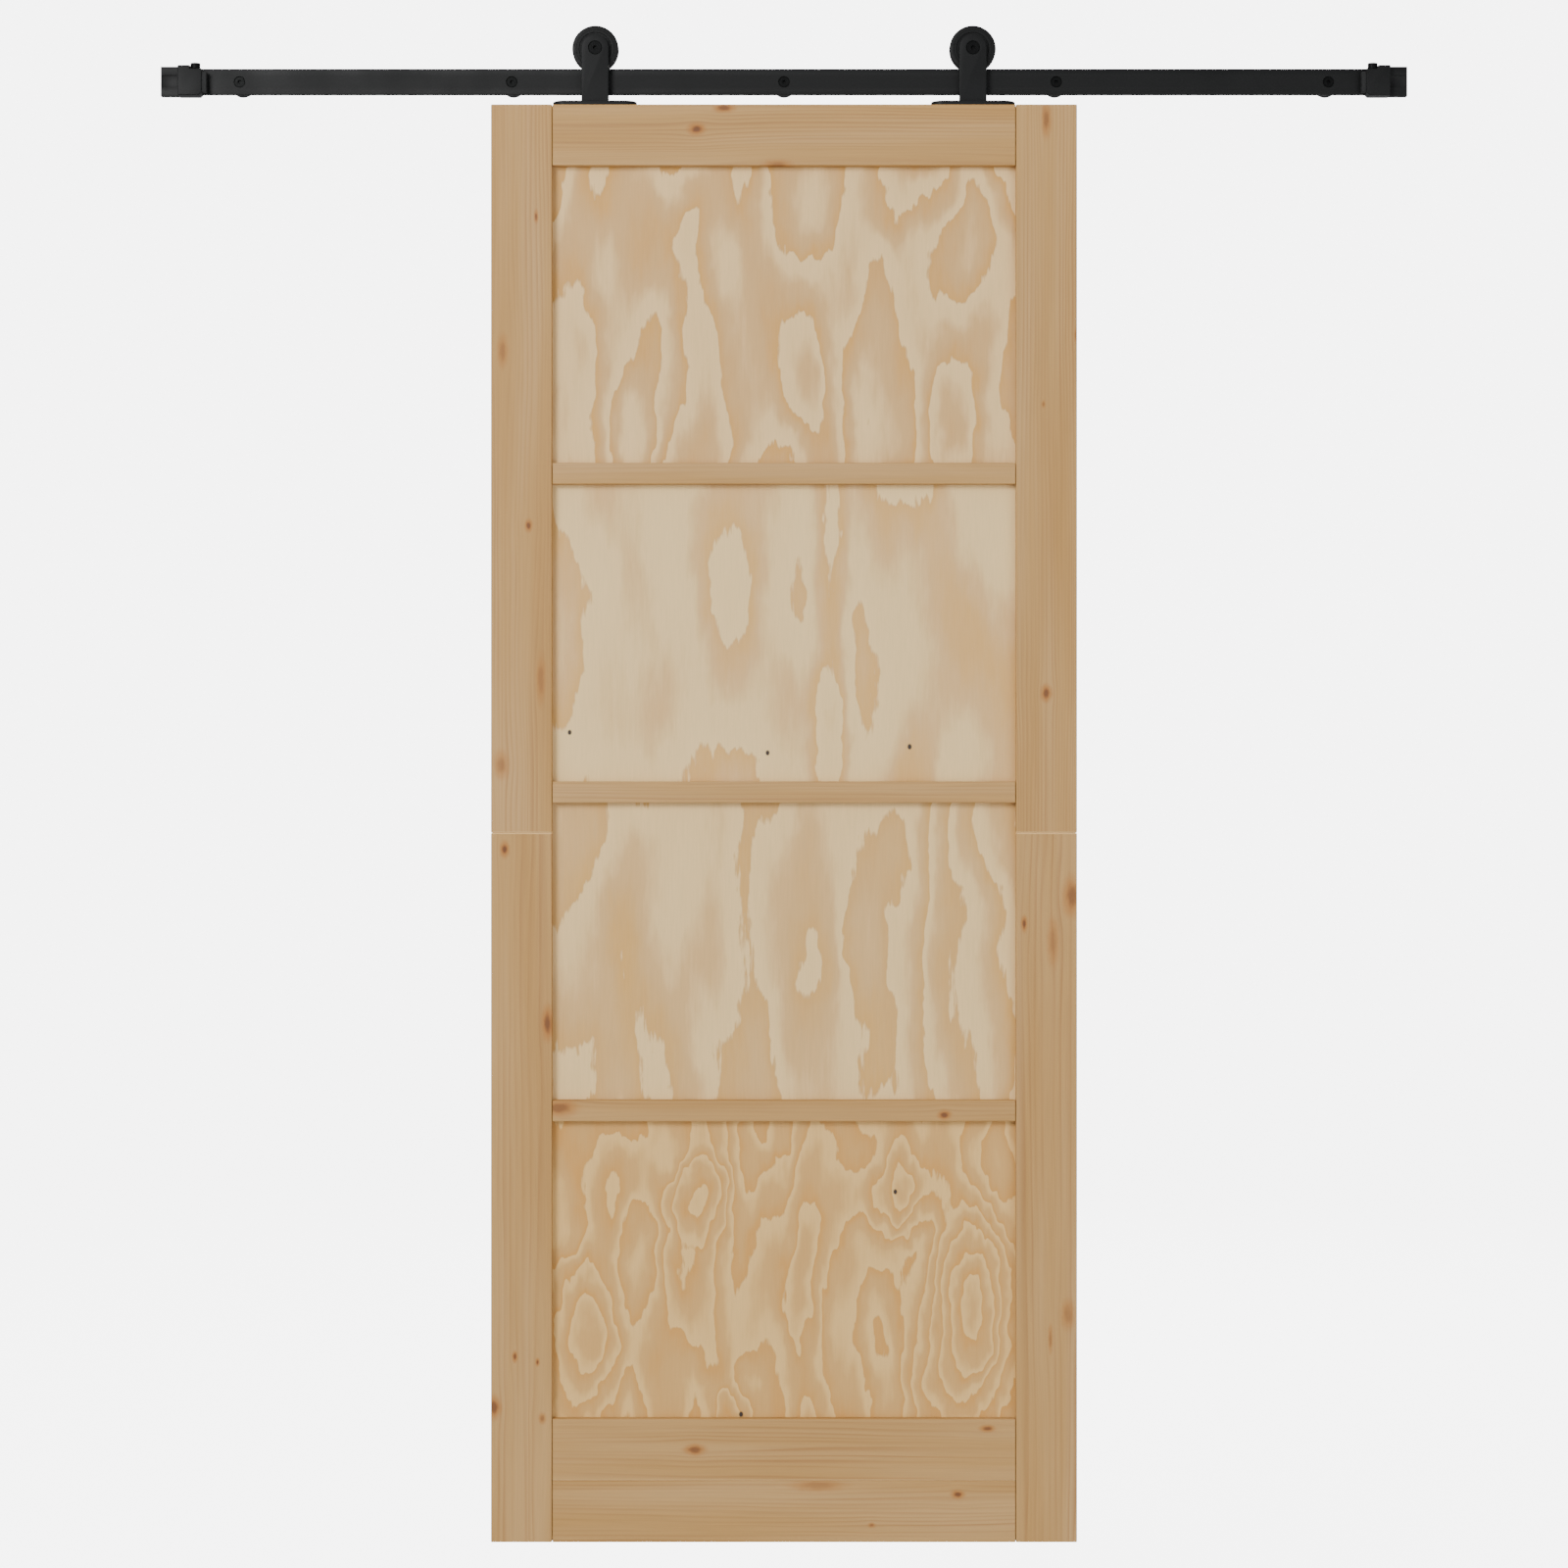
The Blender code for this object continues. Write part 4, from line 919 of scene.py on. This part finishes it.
def rebuild_wheel(side):
    """The grooved wheel, turned from nylon rod: stepped face, rounded flanges, flared groove, dished back."""
    low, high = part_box(f"wheel_{side}")
    centre = (low + high) / 2
    outline = (  # (radius, distance behind the middle) in mm, from the bore's front edge
        ((11.4, -8.7), (11.7, -9.0), (17.6, -9.0), (18.0, -8.6), (18.2, -8.2), (23.4, -8.2)),  # hub, dip
        ((23.7, -8.5), (24.0, -9.0), (27.6, -9.0), (27.9, -8.6), (28.2, -8.3), (32.2, -8.3)),  # ring, dip
        ((33.2, -7.9), (33.8, -7.2), (34.0, -6.4), (34.0, -5.7), (33.8, -5.2), (33.2, -4.9)),  # front flange
        ((28.9, -4.1), (28.5, -3.7), (28.5, 3.7), (28.9, 4.1)),  # groove
        ((33.2, 4.9), (33.8, 5.2), (34.0, 5.7), (34.0, 6.4), (33.8, 7.4), (33.3, 8.3)),  # back flange
        ((32.4, 8.9), (31.6, 9.0), (26.4, 9.0), (26.0, 8.7), (26.0, 7.4), (25.6, 7.0)),  # rim of the dish
        ((13.7, 7.0), (13.3, 6.6), (13.3, -4.3), (11.4, -4.3)),  # the bearing's seat and its shoulder
    )
    rows = [(r * MM, t * MM) for part in outline for r, t in part]
    wheel = mesh_piece(f"grooved_wheel_{side}", turned(rows, 96, ring=True), centre, TOWARDS_WALL)
    smooth(wheel, 34)
    fit_out(wheel, f"{side}_wheel", "black_nylon", f"wheel_{side}")


def rebuild_bearing(side):
    """A small ball bearing: two ground rings, and between them seven balls in their cage."""
    low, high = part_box(f"bearing_outer_{side}")
    centre = (low + high) / 2
    soft = 0.3 * MM
    half, track = 4 * MM, 2.7 * MM  # of the width, and the radius of the balls' track
    circle, lip = 9 * MM, 1.8 * MM  # of the balls' middles, and from there to each ring's edge
    swing = math.degrees(math.acos(lip / track))
    for name, node, body, far, sign in (
        ("bearing_outer_ring", f"bearing_outer_{side}", f"{side}_wheel", 13 * MM, 1),
        ("bearing_inner_ring", f"bearing_inner_{side}", "door", 5.2 * MM, -1),
    ):
        edge, middle = circle + sign * lip, 90 - 90 * sign
        groove = arc(circle, 0, track, middle - sign * swing, middle + sign * swing, 10)
        rows = [(edge, -half + soft)] + groove + [(edge, half - soft), (edge + sign * soft, half)]
        rows += [(far - sign * soft, half), (far, half - soft), (far, -half + soft)]
        rows += [(far - sign * soft, -half), (edge + sign * soft, -half)]
        ring = mesh_piece(f"{name}_{side}", turned(rows, 80, ring=True), centre, TOWARDS_WALL)
        smooth(ring)
        fit_out(ring, body, "bearing_steel", node)
    face = ((0.9, -0.7), (0.9, 0.7), (0.6, 0.95), (-0.6, 0.95))
    back = ((-0.9, 0.7), (-0.9, -0.7), (-0.6, -0.95), (0.6, -0.95))
    rows = [(circle + out * MM, height * MM) for out, height in face + back]
    cage = mesh_piece(f"balls_in_cage_{side}", turned(rows, 80, ring=True), centre, TOWARDS_WALL)
    balls, count = [], 7
    for number in range(count):
        angle = 2 * math.pi * number / count
        ball = bmesh.new()
        bmesh.ops.create_uvsphere(ball, u_segments=28, v_segments=18, radius=2.4 * MM)
        place = centre + Vector((circle * math.cos(angle), 0, circle * math.sin(angle)))
        balls.append(mesh_piece("ball", ball, place))
    combine(cage, balls, "UNION")
    smooth(cage, 40)
    fit_out(cage, f"{side}_ball_cage", "bearing_steel", f"ball_cage_{side}")


# ---------------------------------------------------------------- the leaf's boards

PINE_BOARDS = {
    "stile_left_upper": dict(
        along="Z",
        seed=3.1,
        pith=(-620, 60),
        year=5.5,
        knots=(
            (-362, -203, 1.8, 3.0, 0.75),
            (-373, -654, 3.2, 1.6, 0.85),
            (-411, -399, 4.5, 3.0, 0.35),
            (-355, -878, 4.0, 5.0, 0.3),
            (-413, -1003, 6.5, 1.8, 0.35),
        ),
    ),
    "stile_left_lower": dict(
        along="Z",
        seed=8.7,
        pith=(-240, 90),
        year=6.5,
        knots=(
            (-408, -1127, 3.8, 1.8, 0.9),
            (-345, -1382, 5.0, 2.8, 0.8),
            (-393, -1868, 2.2, 2.2, 0.8),
            (-360, -1876, 1.8, 1.8, 0.8),
            (-424, -1942, 6.0, 1.6, 0.75),
            (-353, -1958, 3.2, 1.5, 0.45),
        ),
    ),
    "stile_right_upper": dict(
        along="Z",
        seed=14.2,
        pith=(690, 40),
        year=5.0,
        knots=(
            (383, -61, 4.2, 3.6, 0.5),
            (383, -899, 4.6, 1.5, 0.8),
            (379, -477, 1.6, 2.0, 0.4),
            (427, -376, 2.0, 3.0, 0.5),
        ),
    ),
    "stile_right_lower": dict(
        along="Z",
        seed=19.9,
        pith=(250, 110),
        year=7.0,
        knots=(
            (421, -1196, 8.0, 2.0, 0.6),
            (351, -1236, 2.6, 2.6, 0.85),
            (393, -1262, 5.0, 4.0, 0.25),
            (415, -1806, 6.0, 2.0, 0.3),
            (389, -1842, 2.0, 6.0, 0.35),
        ),
    ),
    "top_rail": dict(
        along="X",
        seed=25.3,
        pith=(-170, 30),
        year=4.6,
        knots=((-75, -128, 5.0, 1.4, 0.9), (-44, -88, 4.0, 2.2, 0.75), (-127, -10, 4.0, 3.0, 0.4)),
    ),
    "cross_bar_1": dict(along="X", seed=31.0, pith=(-900, 20), year=6.0),
    "cross_bar_2": dict(along="X", seed=37.5, pith=(-600, 60), year=6.5),
    "cross_bar_3": dict(
        along="X",
        seed=42.4,
        pith=(-1800, 30),
        year=6.0,
        knots=((-1505, -328, 7.0, 2.2, 0.6), (-1515, 234, 4.0, 1.4, 0.85)),
    ),
    "bottom_rail_upper": dict(
        along="X",
        seed=48.8,
        pith=(-2110, 60),
        year=5.5,
        knots=((-2004, -130, 4.5, 2.0, 0.7), (-1973, 297, 3.0, 2.2, 0.75)),
    ),
    "bottom_rail_lower": dict(
        along="X",
        seed=53.6,
        pith=(-2260, 40),
        year=6.0,
        knots=((-2069, 254, 3.6, 1.6, 0.85), (-2056, 50, 5.0, 4.5, 0.25), (-2114, 128, 2.0, 1.5, 0.5)),
    ),
}

VENEERS = {
    "panel_1": dict(seed=163.8, years=6.5, wide=118, tall=320),
    "panel_2": dict(
        seed=223.0,
        years=4.2,
        wide=140,
        tall=360,
        flames=((70, -830, 24, 300, 1.7),),
        knots=((-314, -956, 2.0), (-24, -986, 2.0), (184, -977, 2.2)),
        early=0.42,
        shades=("#e6c68a", "#cda268", "#d2a250"),
    ),
    "panel_3": dict(
        seed=215.6,
        years=4.5,
        wide=125,
        tall=360,
        flames=((420, -1290, 125, 420, 4.2),),
        shades=("#e4c286", "#c69c60", "#cd9d4c"),
    ),
    "panel_4": dict(
        seed=123.1,
        years=7.0,
        wide=100,
        tall=280,
        flames=(
            (-130, -1630, 45, 40, 2.2),
            (-120, -1765, 62, 100, 3.0),
            (-300, -1840, 50, 80, 2.6),
            (280, -1820, 55, 120, 3.2),
            (160, -1632, 50, 42, 2.4),
            (-75, -1950, 26, 26, 2.0),
        ),
        knots=((-63, -1955, 2.2), (163, -1629, 2.0)),
        early=0.2,
        shades=("#deb56e", "#c2934f", "#c98d38"),
    ),
}


def finish_leaf():
    """Gives every board its own piece of wood; the boards' shapes are the frame's own."""
    for node, wood in PINE_BOARDS.items():
        low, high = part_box(node)
        seam = {"upper": low.z / MM, "lower": high.z / MM}.get(node.split("_")[-1])  # a whole board has none
        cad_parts[node].material_slots[0].material = pine(f"pine_{node}", seam=seam, **wood)
    for node, wood in VENEERS.items():
        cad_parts[node].material_slots[0].material = veneer(f"pine_veneer_{node}", **wood)
    for side, _ in SIDES:
        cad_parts[f"stile_tongue_{side}"].material_slots[0].material = coats["birch"]


# ---------------------------------------------------------------- studio


def studio():
    """A round white sweep about the door, one big soft light above to the left, and weak ones opposite."""
    ground = cad_box[0][2] - 0.3  # a little under the door
    floor, cove, wall = 7.5, 1.5, 9.0  # the flat floor's radius, the cove's own, and the height of the sweep
    rows = [(0.1, ground), (floor, ground)]
    rows += arc(floor, ground + cove, cove, -75, 0, 5)
    rows += [(floor + cove, ground + wall)]
    shape = turned(rows, 96)
    lid = max(shape.faces, key=lambda face: face.calc_center_median().z)
    bmesh.ops.delete(shape, geom=[lid], context="FACES")
    sweep = mesh_piece("studio_sweep", shape)
    made, _, shader = new_material("white_paper")
    shader.inputs["Base Color"].default_value = linear("#f4f4f3")
    shader.inputs["Roughness"].default_value = 0.9
    shader.inputs["Emission Color"].default_value = linear("#ffffff")
    shader.inputs["Emission Strength"].default_value = 5.5
    sweep.data.materials.append(made)
    smooth(sweep, 60)
    sweep.visible_diffuse = False  # burnt-out paper, which doesn't light the door
    sweep.visible_glossy = False

    for name, place, size, power, aim in (  # metres and watts
        ("key", (-3.2, -5.6, 1.3), 3.0, 400, (0, 0, -1.4)),
        ("fill", (2.6, -4.8, -2.1), 3.6, 120, (0, 0, -1.6)),
        ("rear", (1.6, 4.8, 1.2), 3.0, 110, (0, 0, -1.0)),
    ):
        lamp = bpy.data.lights.new(name, "AREA")
        lamp.shape = "DISK"
        lamp.size = size
        lamp.energy = power
        turn = (Vector(aim) - Vector(place)).to_track_quat("-Z", "Y").to_euler()
        new_object(name, lamp, place, turn).visible_camera = False

    world = bpy.data.worlds.new("studio_air")
    world.use_nodes = True
    air = world.node_tree.nodes["Background"].inputs
    air["Color"].default_value = linear("#fbfbff")
    air["Strength"].default_value = 0.6
    bpy.context.scene.world = world

    lens = bpy.data.cameras.new("camera")
    lens.lens = 78.6
    lens.sensor_width = 36.0
    level, away = -1.0316, 5.066  # about half way up the door, square to it
    bpy.context.scene.camera = new_object("camera", lens, (0.0, -away, level), TOWARDS_VIEWER)


studio()
rebuild_rail()
for number in range(1, 6):
    rebuild_spacer(number)
for number in range(1, 6):
    rebuild_lag_screw(number)
for side, sign in SIDES:
    rebuild_stop(side, sign)
    rebuild_cap_screw(side)
    rebuild_bumper(side, sign)
    rebuild_hanger(side)
    rebuild_axle(side)
    rebuild_wheel(side)
    rebuild_bearing(side)
finish_leaf()
